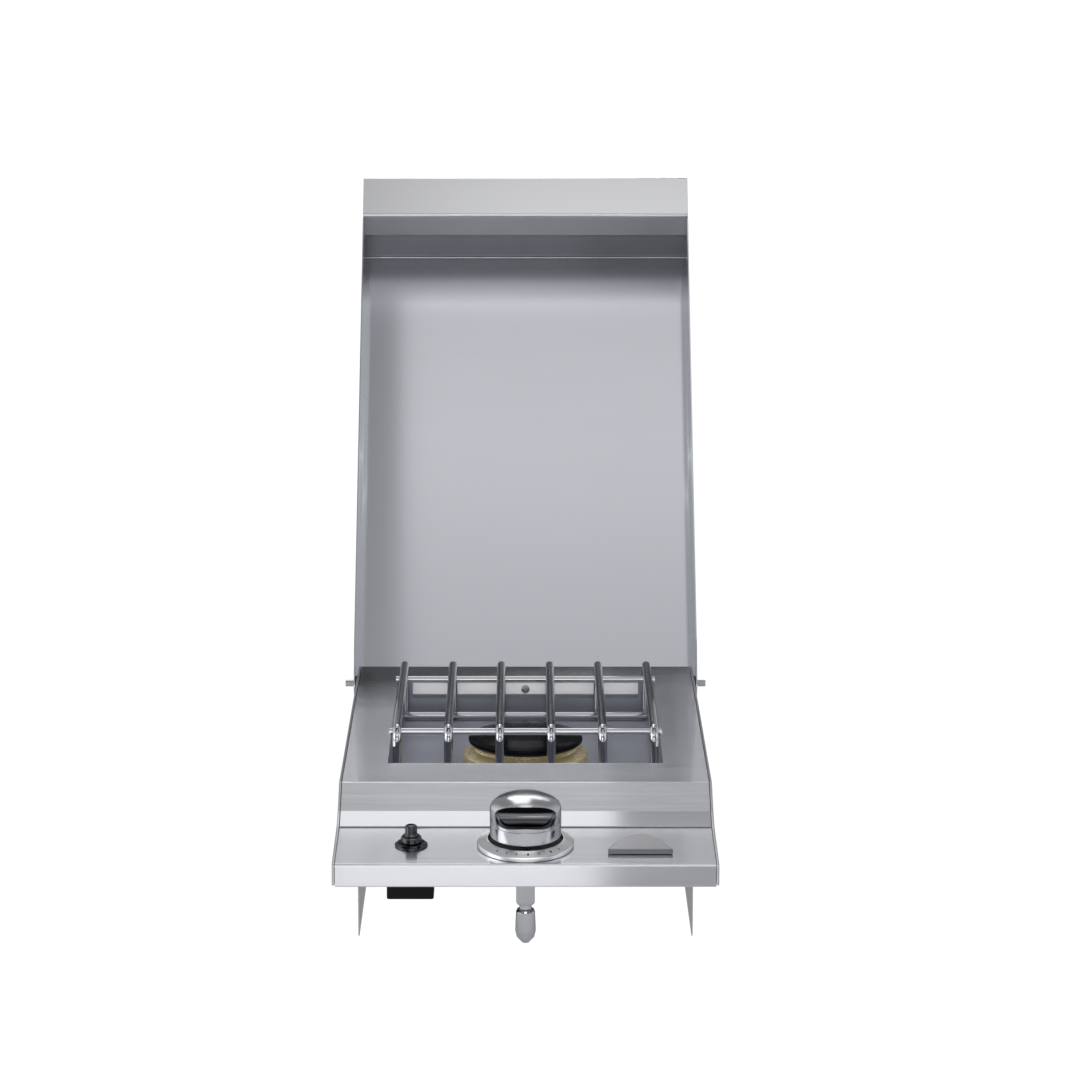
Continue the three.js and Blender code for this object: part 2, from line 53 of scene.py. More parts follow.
BODY_W, SIDE_T = 343.0, 2.5
IN_X = BODY_W / 2 - SIDE_T - GAP
DECK_Z, DECK_REAR, DECK_FRONT = 10.5, 31.0, -398.0
F1, F2, F3, F4 = (-430.0, -7.6), (-450.8, -15.6), (-543.0, -22.8), (-546.0, -42.0)
P2, P4 = (-450.26, -17.0), (-546.0, -43.0)
REST_Z, CUT_W = -42.0, 310.0
BOX_FRONT, BOX_REAR, BOX_Z = -400.0, -20.0, -137.0
WELL_HX, WELL_Y0, WELL_Y1, FLOOR_Z = 129.0, -334.0, -10.0, -30.0
BURNER_Y = -190.0
ROD_R, ROD_PITCH, ROD_Z, ROD_Y0, ROD_Y1 = 4.2, 48.9, 26.25, -277.0, -23.0
BAR_R, BAR_HX, REST_SCREW_Z = 3.4, 130.0, -2.4
PANEL_Y, KNOB_R, BEZEL_R, CTRL_X = -496.2, 32.0, 43.5, 102.3
LID_W, LID_OPEN, LID_TOP, LID_EDGE = 351.0, 127.4, 80.0, 14.9
LID_FRONT, LID_FOOT, LIP, PIN_R = 542.0, 540.0, 47.5, 3.4
JET_Z = -47.0
BETA = math.atan2(P2[1] - F3[1], P2[0] - F3[0])
DY, DZ = 75.785, 137.0


def panel_z(y):
    return P2[1] + (y - P2[0]) * math.tan(BETA)


M_BODY = Matrix.Scale(0.001, 4) @ Matrix.Translation((0, DY, DZ))
M_PANEL = M_BODY @ Matrix.Translation((0, PANEL_Y, panel_z(PANEL_Y))) @ Matrix.Rotation(BETA, 4, "X")
M_IGN = M_PANEL @ Matrix.Translation((-CTRL_X, 0, 0))
M_LID = M_BODY @ Matrix.Rotation(math.radians(-LID_OPEN), 4, "X")

# ------------------------------------------------------------------ mesh tools
scene = bpy.context.scene


def solid(verts, faces, name="tmp"):
    me = bpy.data.meshes.new(name)
    me.from_pydata([tuple(v) for v in verts], [], faces)
    bm = bmesh.new()
    bm.from_mesh(me)
    bmesh.ops.remove_doubles(bm, verts=bm.verts, dist=1e-5)
    bmesh.ops.recalc_face_normals(bm, faces=bm.faces)
    bm.to_mesh(me)
    bm.free()
    ob = bpy.data.objects.new(name, me)
    scene.collection.objects.link(ob)
    return ob


def settle(ob):
    dg = bpy.context.evaluated_depsgraph_get()
    me = bpy.data.meshes.new_from_object(ob.evaluated_get(dg))
    old = ob.data
    ob.modifiers.clear()
    ob.data = me
    bpy.data.meshes.remove(old)
    return ob


def boolean(a, b, op):
    m = a.modifiers.new("b", "BOOLEAN")
    m.operation, m.object, m.solver = op, b, "EXACT"
    settle(a)
    me = b.data
    bpy.data.objects.remove(b)
    bpy.data.meshes.remove(me)
    return a


def minus(a, *bs):
    for b in bs:
        boolean(a, b, "DIFFERENCE")
    return a


def plus(a, *bs):
    for b in bs:
        boolean(a, b, "UNION")
    return a


def clean(ob, angle=0.6):
    bm = bmesh.new()
    bm.from_mesh(ob.data)
    bmesh.ops.remove_doubles(bm, verts=bm.verts, dist=1e-4)
    bmesh.ops.dissolve_limit(bm, angle_limit=math.radians(angle), verts=bm.verts, edges=bm.edges)
    bm.to_mesh(ob.data)
    bm.free()
    return ob


def bevel(ob, width, seg=2, angle=32):
    m = ob.modifiers.new("v", "BEVEL")
    m.width, m.segments, m.limit_method, m.angle_limit = width, seg, "ANGLE", math.radians(angle)
    m.use_clamp_overlap = True
    m.miter_outer = "MITER_ARC"
    return settle(ob)


def fillet(pts, radii, seg=6, closed=False):
    n, out = len(pts), []
    for i in range(n):
        r = radii.get(i, 0) if isinstance(radii, dict) else radii
        p1 = Vector(pts[i][:2])
        if r <= 0 or (not closed and i in (0, n - 1)):
            out.append(p1)
            continue
        p0, p2 = Vector(pts[i - 1][:2]), Vector(pts[(i + 1) % n][:2])
        l1, l2 = (p0 - p1).length, (p2 - p1).length
        v1, v2 = (p0 - p1) / l1, (p2 - p1) / l2
        ang = math.acos(max(-1, min(1, v1.dot(v2))))
        if ang > 3.13:
            out.append(p1)
            continue
        d = min(r / math.tan(ang / 2), 0.49 * l1, 0.49 * l2)
        rr = d * math.tan(ang / 2)
        c = p1 + (v1 + v2).normalized() * rr / math.sin(ang / 2)
        a, b = p1 + v1 * d - c, p1 + v2 * d - c
        a0 = math.atan2(a.y, a.x)
        da = (math.atan2(b.y, b.x) - a0 + math.pi) % (2 * math.pi) - math.pi
        for k in range(seg + 1):
            w = a0 + da * k / seg
            out.append(c + Vector((math.cos(w), math.sin(w))) * rr)
    return out


def sheet(line, t):
    """Folded strip: an outer line and its offset by t to the right-hand side."""
    def nor(a, b):
        d = (b - a).normalized()
        return Vector((d.y, -d.x))
    line = [Vector(p) for p in line]
    off = []
    for i, p in enumerate(line):
        n1 = nor(line[i - 1], p) if i else nor(line[0], line[1])
        n2 = nor(p, line[i + 1]) if i < len(line) - 1 else n1
        off.append(p + (n1 + n2) * (t / (1 + n1.dot(n2))))
    return line + off[::-1]


def spline(pts, per=6):
    """Smooth curve through the points."""
    p = [Vector(q) for q in pts]
    p = [p[0] * 2 - p[1]] + p + [p[-1] * 2 - p[-2]]
    out = []
    for i in range(1, len(p) - 2):
        for k in range(per):
            t = k / per
            a, b, c, d = p[i - 1], p[i], p[i + 1], p[i + 2]
            out.append(((b * 2) + (c - a) * t + (a * 2 - b * 5 + c * 4 - d) * t * t + (b * 3 - a - c * 3 + d) * t ** 3) / 2)
    return out + [p[-2]]


def prism(pts, a, b, axis="X"):
    """Closed prism: outline in the plane across axis, from a to b along it."""
    def at(p, h):
        return {"X": (h, p[0], p[1]), "Y": (p[0], h, p[1]), "Z": (p[0], p[1], h)}[axis]
    n = len(pts)
    v = [at(p, a) for p in pts] + [at(p, b) for p in pts]
    f = [list(range(n)), list(range(2 * n - 1, n - 1, -1))]
    f += [(i, (i + 1) % n, n + (i + 1) % n, n + i) for i in range(n)]
    return solid(v, f)


def rect(x0, y0, x1, y1, r=0, seg=6):
    return fillet([(x0, y0), (x1, y0), (x1, y1), (x0, y1)], r, seg, True)


def block(x0, y0, z0, x1, y1, z1, r=0, seg=2, corner=0):
    ob = prism(rect(x0, y0, x1, y1, corner), z0, z1, "Z")
    return bevel(ob, r, seg) if r else ob


def lathe(profile, seg=96, centre=(0, 0, 0), axis="Z"):
    """Closed solid of revolution; profile holds (radius, height) pairs in a loop."""
    v, f, ring = [], [], []
    cx, cy, cz = centre
    for r, h in profile:
        k = 1 if r < 1e-6 else seg
        ring.append((len(v), k))
        for i in range(k):
            a = 2 * math.pi * i / seg
            p = (r * math.cos(a), r * math.sin(a), h)
            if axis == "X":
                p = (h, r * math.cos(a), r * math.sin(a))
            elif axis == "Y":
                p = (r * math.sin(a), h, r * math.cos(a))
            v.append((p[0] + cx, p[1] + cy, p[2] + cz))
    n = len(profile)
    for j in range(n):
        (s0, k0), (s1, k1) = ring[j], ring[(j + 1) % n]
        if k0 == 1 and k1 == 1:
            continue
        for i in range(seg):
            i2 = (i + 1) % seg
            if k0 == 1:
                f.append((s0, s1 + i, s1 + i2))
            elif k1 == 1:
                f.append((s0 + i, s1, s0 + i2))
            else:
                f.append((s0 + i, s1 + i, s1 + i2, s0 + i2))
    return solid(v, f)


def rod(r, a, b, centre=(0, 0, 0), axis="Z", seg=48, chamfer=0.0):
    c = chamfer
    pts = [(0, a), (r - c, a), (r, a + c), (r, b - c), (r - c, b), (0, b)] if c else [(0, a), (r, a), (r, b), (0, b)]
    return lathe(pts, seg, centre, axis)


def hexa(af, z0, z1, chamfer=0.8, turn=0.0, centre=(0, 0), seg=48):
    """Hexagon nut or head with its corners turned off on both faces."""
    r = af / math.sqrt(3)
    pts = [(centre[0] + r * math.cos(turn + i * math.pi / 3), centre[1] + r * math.sin(turn + i * math.pi / 3)) for i in range(6)]
    body = prism(pts, z0, z1, "Z")
    turned = lathe([(0, z0), (af / 2 - 0.15, z0), (r + 0.1, z0 + chamfer), (r + 0.1, z1 - chamfer), (af / 2 - 0.15, z1), (0, z1)],
                   seg, (centre[0], centre[1], 0))
    return boolean(body, turned, "INTERSECT")


def sweep(path, r, sides=24, caps=0.8):
    """Round bar along a list of points, its ends slightly rounded."""
    path = [Vector(p) for p in path]
    n = len(path)
    tan = [(path[min(i + 1, n - 1)] - path[max(i - 1, 0)]).normalized() for i in range(n)]
    up = Vector((1, 0, 0)) if abs(tan[0].x) < 0.9 else Vector((0, 0, 1))
    v, f = [], []

    def ring(p, t, rad):
        nonlocal up
        up = (up - t * up.dot(t)).normalized()
        w = t.cross(up)
        s = len(v)
        for j in range(sides):
            a = 2 * math.pi * j / sides
            v.append(p + (up * math.cos(a) + w * math.sin(a)) * rad)
        return s
    rings = []
    for k in range(4):
        a = math.pi / 2 * k / 3
        rings.append(ring(path[0] + tan[0] * caps * (1 - math.cos(math.pi / 2 - a)) , tan[0], r - caps + caps * math.sin(a)))
    for i in range(1, n - 1):
        rings.append(ring(path[i], tan[i], r))
    for k in range(3, -1, -1):
        a = math.pi / 2 * k / 3
        rings.append(ring(path[-1] - tan[-1] * caps * (1 - math.cos(math.pi / 2 - a)), tan[-1], r - caps + caps * math.sin(a)))
    for q in range(len(rings) - 1):
        s, t = rings[q], rings[q + 1]
        for j in range(sides):
            k = (j + 1) % sides
            f.append((s + j, t + j, t + k, s + k))
    f.append(list(range(rings[0], rings[0] + sides))[::-1])
    f.append(list(range(rings[-1], rings[-1] + sides)))
    return solid(v, f)


def tray(hx, y0, y1, z0, z1, rc, rb, n=6):
    """Block with rounded upright corners and a rounded bottom edge."""
    v, f, rings = [], [], []
    cy, hy = (y0 + y1) / 2, (y1 - y0) / 2
    levels = [(rb * (1 - math.sin(math.pi / 2 * k / n)), z0 + rb * (1 - math.cos(math.pi / 2 * k / n))) for k in range(n + 1)] + [(0, z1)]
    for inset, z in levels:
        r = max(rc - inset, 0.25)
        s = len(v)
        rings.append(s)
        for qx, qy, a0 in ((1, 1, 0), (-1, 1, 90), (-1, -1, 180), (1, -1, 270)):
            for k in range(n + 1):
                a = math.radians(a0 + 90 * k / n)
                v.append((qx * (hx - inset - r) + r * math.cos(a), cy + qy * (hy - inset - r) + r * math.sin(a), z))
    m = 4 * (n + 1)
    for s, t in zip(rings, rings[1:]):
        for j in range(m):
            k = (j + 1) % m
            f.append((s + j, s + k, t + k, t + j))
    f.append(list(range(m))[::-1])
    f.append(list(range(rings[-1], rings[-1] + m)))
    return solid(v, f)


def finish_piece(ob, name, matrix, body, node, mat, weighted=True, angle=35):
    me = ob.data
    me.transform(matrix)
    me.name = ob.name = name
    me.materials.clear()
    me.materials.append(mat)
    for p in me.polygons:
        p.use_smooth = True
        p.material_index = 0
    me.set_sharp_from_angle(angle=math.radians(angle))
    if weighted:
        w = ob.modifiers.new("n", "WEIGHTED_NORMAL")
        w.keep_sharp = True
        w.weight = 80
        settle(ob)
        ob.data.name = name
    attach(ob, body)
    if node:
        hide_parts(node)
    return ob


def refine(node, width, mat, seg=2, weighted=True):
    """The solid's own mesh with its coplanar triangles merged and its edges broken."""
    src = frame["nodes"][node]
    me = src.data.copy()
    ob = bpy.data.objects.new(node + "_look", me)
    scene.collection.objects.link(ob)
    me.transform(Matrix.Scale(1000, 4))
    clean(ob, 0.5)
    if width:
        bevel(ob, width, seg, 30)
    body = next(b for b, ns in frame["record"]["behaviour"]["bodies"].items() if node in ns)
    return finish_piece(ob, node + "_look", Matrix.Scale(0.001, 4), body, node, mat, weighted)


# ------------------------------------------------------------------ materials
def new_mat(name):
    m = bpy.data.materials.new(name)
    m.use_nodes = True
    nt = m.node_tree
    return m, nt, nt.nodes["Principled BSDF"], nt.links


def noise(nt, vec, scale, detail=3, rough=0.5, mapping=(1, 1, 1), rot=(0, 0, 0)):
    mp = nt.nodes.new("ShaderNodeMapping")
    mp.inputs["Scale"].default_value = mapping
    mp.inputs["Rotation"].default_value = rot
    nt.links.new(vec, mp.inputs["Vector"])
    nz = nt.nodes.new("ShaderNodeTexNoise")
    nz.inputs["Scale"].default_value = scale
    nz.inputs["Detail"].default_value = detail
    nz.inputs["Roughness"].default_value = rough
    nt.links.new(mp.outputs["Vector"], nz.inputs["Vector"])
    return nz.outputs["Fac"]


def ramp(nt, fac, lo, hi, a=0.0, b=1.0):
    mr = nt.nodes.new("ShaderNodeMapRange")
    mr.inputs["From Min"].default_value, mr.inputs["From Max"].default_value = a, b
    mr.inputs["To Min"].default_value, mr.inputs["To Max"].default_value = lo, hi
    nt.links.new(fac, mr.inputs["Value"])
    return mr.outputs["Result"]


def colours(nt, fac, stops):
    cr = nt.nodes.new("ShaderNodeValToRGB")
    el = cr.color_ramp.elements
    while len(el) < len(stops):
        el.new(0.5)
    for e, (p, c) in zip(el, stops):
        e.position = p
        e.color = (*c, 1)
    nt.links.new(fac, cr.inputs["Fac"])
    return cr.outputs["Color"]


def bump(nt, height, strength, distance, after=None):
    bp = nt.nodes.new("ShaderNodeBump")
    bp.inputs["Strength"].default_value = strength
    bp.inputs["Distance"].default_value = distance
    nt.links.new(height, bp.inputs["Height"])
    if after is not None:
        nt.links.new(after, bp.inputs["Normal"])
    return bp.outputs["Normal"]


def add(nt, a, b, op="ADD"):
    m = nt.nodes.new("ShaderNodeMath")
    m.operation = op
    nt.links.new(a, m.inputs[0])
    nt.links.new(b, m.inputs[1])
    return m.outputs[0]


def steel(name, grain="X", base=(0.60, 0.61, 0.635), rough=0.3, aniso=0.6, depth=0.25, streak=0.10, vary=0.02, band=None, painted_shade=None):
    """Brushed stainless steel: fine parallel scratches along one axis, with soft handling marks."""
    m, nt, sh, ln = new_mat(name)
    tc = nt.nodes.new("ShaderNodeTexCoord").outputs["Object"]
    k = {"X": (1, 60, 60), "Y": (60, 1, 60), "Z": (60, 60, 1)}[grain]
    fine = noise(nt, tc, 22, 2, 0.6, k)
    mid = noise(nt, tc, 5.5, 3, 0.55, tuple(v if v == 1 else 40 for v in k))
    soft = noise(nt, tc, 6, 3, 0.5)
    c = 1 - streak
    grit = add(nt, fine, mid, "MULTIPLY")
    col = colours(nt, grit, [(0.12, tuple(v * c for v in base)), (0.4, tuple(min(1, v * (1 + streak)) for v in base))])
    if band:                                   # a face with coarser, plainly visible grain, between two Y planes
        sp = nt.nodes.new("ShaderNodeSeparateXYZ")
        ln.new(tc, sp.inputs[0])
        y0, y1, more = band
        m0 = ramp(nt, sp.outputs["Y"], 0.0, 1.0, y0 - 0.0004, y0 + 0.0004)
        m1 = ramp(nt, sp.outputs["Y"], 1.0, 0.0, y1 - 0.0004, y1 + 0.0004)
        mk = add(nt, m0, m1, "MULTIPLY")
        coarse = colours(nt, grit, [(0.10, tuple(v * (1 - more) for v in base)), (0.42, tuple(min(1, v * (1 + more * 0.5)) for v in base))])
        mixc = nt.nodes.new("ShaderNodeMix")
        mixc.data_type = "RGBA"
        ln.new(mk, mixc.inputs["Factor"])
        ln.new(col, mixc.inputs["A"])
        ln.new(coarse, mixc.inputs["B"])
        col = mixc.outputs["Result"]
    if painted_shade:                                   # painted shade: the plate is painted darker towards its rear left corner, and the faces in front of it one darker tone
        sp2 = nt.nodes.new("ShaderNodeSeparateXYZ")
        ln.new(tc, sp2.inputs[0])
        edge, tone, span, stops = painted_shade
        lean = add(nt, sp2.outputs["Y"], ramp(nt, sp2.outputs["X"], 0.3, -0.3, -1.0, 1.0))
        f2 = colours(nt, ramp(nt, lean, 0.0, 1.0, *span), [(q, (v, v, v)) for q, v in stops])
        f1 = ramp(nt, sp2.outputs["Y"], tone, 1.0, edge - 0.0003, edge + 0.0003)
        for f in (f2, f1):
            mu = nt.nodes.new("ShaderNodeMix")
            mu.data_type, mu.blend_type = "RGBA", "MULTIPLY"
            mu.inputs["Factor"].default_value = 1.0
            ln.new(col, mu.inputs["A"])
            ln.new(f, mu.inputs["B"])
            col = mu.outputs["Result"]
    ln.new(col, sh.inputs["Base Color"])
    r = add(nt, ramp(nt, mid, rough - vary, rough + vary, 0.3, 0.7), ramp(nt, soft, -vary * 0.5, vary * 0.5, 0.3, 0.7))
    ln.new(r, sh.inputs["Roughness"])
    ln.new(bump(nt, fine, depth, 0.00004), sh.inputs["Normal"])
    sh.inputs["Metallic"].default_value = 1
    sh.inputs["Anisotropic"].default_value = aniso
    tg = nt.nodes.new("ShaderNodeTangent")
    tg.direction_type = "RADIAL"
    tg.axis = "X" if grain == "X" else "Z"
    ln.new(tg.outputs["Tangent"], sh.inputs["Tangent"])
    if grain == "Y":
        sh.inputs["Anisotropic Rotation"].default_value = 0.25
    return m


def polished(name, base, rough, mark=0.02, metallic=1.0, coat=0.0):
    """Polished or plated metal with faint uneven polish."""
    m, nt, sh, ln = new_mat(name)
    tc = nt.nodes.new("ShaderNodeTexCoord").outputs["Object"]
    cloud = noise(nt, tc, 40, 4, 0.6)
    hair = noise(nt, tc, 900, 2, 0.5)
    ln.new(ramp(nt, cloud, rough, rough + mark, 0.35, 0.7), sh.inputs["Roughness"])
    ln.new(colours(nt, cloud, [(0.3, tuple(v * 0.95 for v in base)), (0.7, base)]), sh.inputs["Base Color"])
    ln.new(bump(nt, hair, 0.03, 0.00003), sh.inputs["Normal"])
    sh.inputs["Metallic"].default_value = metallic
    sh.inputs["Coat Weight"].default_value = coat
    return m


def cast(name, base, spread, rough, metallic, grit=400, depth=0.25, dist=0.0002, coat=0.0, coat_rough=0.1):
    m, nt, sh, ln = new_mat(name)
    tc = nt.nodes.new("ShaderNodeTexCoord").outputs["Object"]
    n1 = noise(nt, tc, grit, 4, 0.6)
    n2 = noise(nt, tc, 35, 4, 0.6)
    ln.new(colours(nt, n2, [(0.3, base), (0.7, spread)]), sh.inputs["Base Color"])
    ln.new(ramp(nt, add(nt, n1, n2, "MULTIPLY"), rough - 0.06, rough + 0.08, 0.1, 0.45), sh.inputs["Roughness"])
    ln.new(bump(nt, n1, depth, dist), sh.inputs["Normal"])
    sh.inputs["Metallic"].default_value = metallic
    sh.inputs["Coat Weight"].default_value = coat
    sh.inputs["Coat Roughness"].default_value = coat_rough
    return m


STEEL = steel("brushed_steel_x", base=(0.60, 0.61, 0.64), rough=0.165, aniso=1.0, depth=0.03, streak=0.012, vary=0.010, band=(-0.3540, -0.3225, 0.10))
# the deck: a bright base with painted shade, darker towards the rear left and on its front faces
DECK = steel("brushed_steel_deck", base=(0.90, 0.915, 0.95), rough=0.165, aniso=1.0, depth=0.03, streak=0.012, vary=0.010, band=(-0.3540, -0.3225, 0.10),
             painted_shade=(-0.3222, 0.66, (-0.15, 0.12), [(0.0, 1.0), (0.45, 0.94), (0.70, 0.50), (0.90, 0.11)]))
LID = steel("brushed_steel_lid", base=(0.565, 0.575, 0.61), rough=0.15, aniso=1.0, depth=0.01, streak=0.004, vary=0.004)
HANDLE = steel("satin_steel_lip", base=(0.90, 0.90, 0.91), rough=0.29, aniso=0.4, depth=0.01, streak=0.004, vary=0.004)
STRIP = steel("strip_steel", base=(0.72, 0.72, 0.73), rough=0.34, aniso=0.3, depth=0.01, streak=0.01, vary=0.01)
SIDE = steel("brushed_steel_y", grain="Y", base=(0.60, 0.60, 0.62), streak=0.04)
PAN = steel("pan_steel", base=(0.50, 0.52, 0.58), rough=0.40, aniso=0.2, depth=0.05, streak=0.015)
DULL = steel("inner_steel", base=(0.45, 0.46, 0.49), rough=0.42, aniso=0.2, depth=0.1, streak=0.03)
CHROME = polished("chrome", (0.54, 0.55, 0.57), 0.05)
KNOB = polished("knob_chrome", (0.62, 0.63, 0.65), 0.17, 0.03)


def paint_light_and_shade(m, mask, tint):
    """Where mask is 1, the base colour is painted the tone tint; used to paint shade and highlights."""
    nt = m.node_tree
    sh = nt.nodes["Principled BSDF"]
    mx = nt.nodes.new("ShaderNodeMix")
    mx.data_type = "RGBA"
    nt.links.new(mask, mx.inputs["Factor"])
    nt.links.new(sh.inputs["Base Color"].links[0].from_socket, mx.inputs["A"])
    mx.inputs["B"].default_value = (*tint, 1)
    nt.links.new(mx.outputs["Result"], sh.inputs["Base Color"])


def vmath(nt, op, a, value):
    n = nt.nodes.new("ShaderNodeVectorMath")
    n.operation = op
    nt.links.new(a, n.inputs[0])
    if value is not None:
        n.inputs[1].default_value = value
    return n.outputs["Value"] if op in ("DOT_PRODUCT", "LENGTH") else n.outputs["Vector"]


def place(m):
    return m.node_tree.nodes.new("ShaderNodeTexCoord").outputs["Object"]


N_PANEL = M_PANEL.to_3x3().normalized() @ Vector((0, 0, 1))
_nt = KNOB.node_tree                                # painted shade: the finger recess is painted dark
_at = M_PANEL @ Vector((0, -26.5, 35.4))
_far = vmath(_nt, "LENGTH", vmath(_nt, "MULTIPLY", vmath(_nt, "SUBTRACT", place(KNOB), (0, _at.y, _at.z)), (0, 1, 1)), None)
_cup = ramp(_nt, _far, 1.0, 0.0, 0.0096, 0.0101)
paint_light_and_shade(KNOB, _cup, (0.05, 0.05, 0.055))
_high = vmath(_nt, "DOT_PRODUCT", vmath(_nt, "SUBTRACT", place(KNOB), tuple(M_PANEL @ Vector((0, 0, 0)))), tuple(N_PANEL))
_line = add(_nt, ramp(_nt, _high, 0.0, 1.0, 0.0322, 0.0338), ramp(_nt, _high, 1.0, 0.0, 0.0356, 0.0372), "MULTIPLY")
paint_light_and_shade(KNOB, add(_nt, _cup, _line, "MULTIPLY"), (0.24, 0.24, 0.255))          # painted highlight: a lighter stripe along the middle of the recess
RING = polished("satin_ring", (0.94, 0.94, 0.95), 0.28, 0.03)
_nt = RING.node_tree                                # painted shade: the ring is painted black inside, under the knob
_far = vmath(_nt, "LENGTH", vmath(_nt, "CROSS_PRODUCT", vmath(_nt, "SUBTRACT", place(RING), tuple(M_PANEL @ Vector((0, 0, 0)))), tuple(N_PANEL)), None)
paint_light_and_shade(RING, ramp(_nt, _far, 1.0, 0.0, 0.0337, 0.0341), (0.012, 0.012, 0.013))
DARK_CHROME = polished("dark_chrome", (0.085, 0.088, 0.095), 0.10)
SATIN = polished("satin_plate", (0.19, 0.19, 0.20), 0.19, 0.04)
ROD = polished("rod_chrome", (0.60, 0.61, 0.63), 0.06, 0.02)
BRASS = cast("brass_cast", (1.0, 0.80, 0.44), (1.0, 0.86, 0.52), 0.27, 0.45, 500, 0.03, 0.00005)
ENAMEL = cast("black_enamel", (0.006, 0.006, 0.008), (0.010, 0.011, 0.014), 0.25, 0.0, 260, 0.05, 0.0001, 0.0, 0.1)
ENAMEL.node_tree.nodes["Principled BSDF"].inputs["Specular IOR Level"].default_value = 0.06
ZINC = polished("zinc_plate", (0.52, 0.53, 0.55), 0.22, 0.12)
CERAMIC = cast("glazed_ceramic", (0.74, 0.71, 0.63), (0.84, 0.82, 0.76), 0.24, 0.0, 200, 0.05, 0.0001, 0.4, 0.1)
PLASTIC = cast("black_plastic", (0.004, 0.004, 0.0045), (0.008, 0.008, 0.0085), 0.5, 0.0, 1500, 0.35, 0.00005)
PLASTIC.node_tree.nodes["Principled BSDF"].inputs["Specular IOR Level"].default_value = 0.18
RUBBER = cast("black_rubber", (0.012, 0.012, 0.012), (0.024, 0.023, 0.022), 0.62, 0.0, 900, 0.3, 0.00008)
PAINT = cast("black_paint", (0.010, 0.010, 0.011), (0.020, 0.020, 0.021), 0.45, 0.0, 900, 0.1, 0.00003)

_nt = LID.node_tree                                 # painted shade: the inner face of the lid's front wall is painted darker than the skin
A_LID = M_LID.to_3x3().normalized()
_in = (M_LID @ Vector((0, -LID_FRONT, 0))).dot(A_LID @ Vector((0, 1, 0)))
_far = vmath(_nt, "DOT_PRODUCT", place(LID), tuple(A_LID @ Vector((0, 1, 0))))
paint_light_and_shade(LID, add(_nt, ramp(_nt, _far, 0.0, 1.0, _in - 0.0007, _in - 0.0005), ramp(_nt, _far, 1.0, 0.0, _in + 0.0003, _in + 0.0012), "MULTIPLY"), (0.20, 0.205, 0.22))
_nt = HANDLE.node_tree                              # painted shade: the wall between it and the front lip is painted darker too
_at = (M_LID @ Vector((0, 0, -LID_EDGE + T))).dot(A_LID @ Vector((0, 0, 1)))
paint_light_and_shade(HANDLE, ramp(_nt, vmath(_nt, "DOT_PRODUCT", place(HANDLE), tuple(A_LID @ Vector((0, 0, 1)))), 0.0, 1.0, _at + 0.0012, _at + 0.0022), (0.55, 0.55, 0.57))

# ------------------------------------------------------------------ body sheet metal
# deck
line = fillet([F2, F1, (DECK_FRONT, DECK_Z), (DECK_REAR - 1.8, DECK_Z), (DECK_REAR - 1.8, -14)], {1: 2.4, 2: 2.4, 3: 2.4}, 8)
deck = prism(sheet(line, T), -IN_X, IN_X)
minus(deck, prism(rect(-WELL_HX, WELL_Y0, WELL_HX, WELL_Y1, 1.6, 5), 0, 20, "Z"))
bevel(clean(deck, 0.3), 0.22, 2, 40)
finish_piece(deck, "deck_skin", M_BODY, "body", "deck_top", DECK)

# side plates with the counter flange
for s, n in ((-1, "left"), (1, "right")):
    x0 = BODY_W / 2 - SIDE_T if s > 0 else -BODY_W / 2
    out = fillet([(DECK_REAR, DECK_Z), (DECK_REAR, REST_Z), F4, F3, F2, F1, (DECK_FRONT, DECK_Z)],
                 {0: 2.0, 1: 1.0, 2: 1.6, 3: 3.0, 4: 6.0, 5: 6.0, 6: 4.0}, 6, True)
    pl = bevel(prism(out, x0, x0 + SIDE_T), 0.75, 3, 40)
    f0, f1 = (CUT_W / 2 + GAP, BODY_W / 2 - 0.8) if s > 0 else (-BODY_W / 2 + 0.8, -CUT_W / 2 - GAP)
    plus(pl, block(f0, F4[0] + 16, REST_Z, f1, DECK_REAR - 1, REST_Z + T))
    minus(pl, rod(PIN_R + 0.1, x0 - 3, x0 + SIDE_T + 3, axis="X", seg=32))
    finish_piece(pl, "side_skin_" + n, M_BODY, "body", "side_plate_" + n, SIDE, True, 30)

# rear panel
line = fillet([(DECK_REAR - 14, REST_Z + T + GAP), (DECK_REAR - 3.4, REST_Z + T + GAP), (DECK_REAR - 3.4, 7)], {1: 2.2}, 6)
finish_piece(bevel(prism(sheet(line, -T), -IN_X, IN_X), 0.2, 2, 40), "rear_skin", M_BODY, "body", "rear_panel", DULL)

# control panel
tab = (P2[0] + (F1[0] - F2[0]) * 0.8, P2[1] + (F1[1] - F2[1]) * 0.8)
line = fillet([tab, P2, F3, P4, (P4[0] + 14, P4[1])], {1: 1.2, 2: 2.6, 3: 0.8}, 10)
cp = prism(sheet(line, -T), -IN_X, IN_X)
holes = [rod(r, -20, 20, seg=40) for r in (7, 8.4, 1.8, 1.8)]
for h, x in zip(holes, (0, -CTRL_X, CTRL_X - 8, CTRL_X + 8)):
    h.data.transform(Matrix.Translation((x, PANEL_Y, panel_z(PANEL_Y))) @ Matrix.Rotation(BETA, 4, "X"))
minus(cp, *holes)
bevel(clean(cp, 0.3), 0.2, 2, 40)
finish_piece(cp, "control_skin", M_BODY, "body", "control_panel", STEEL)

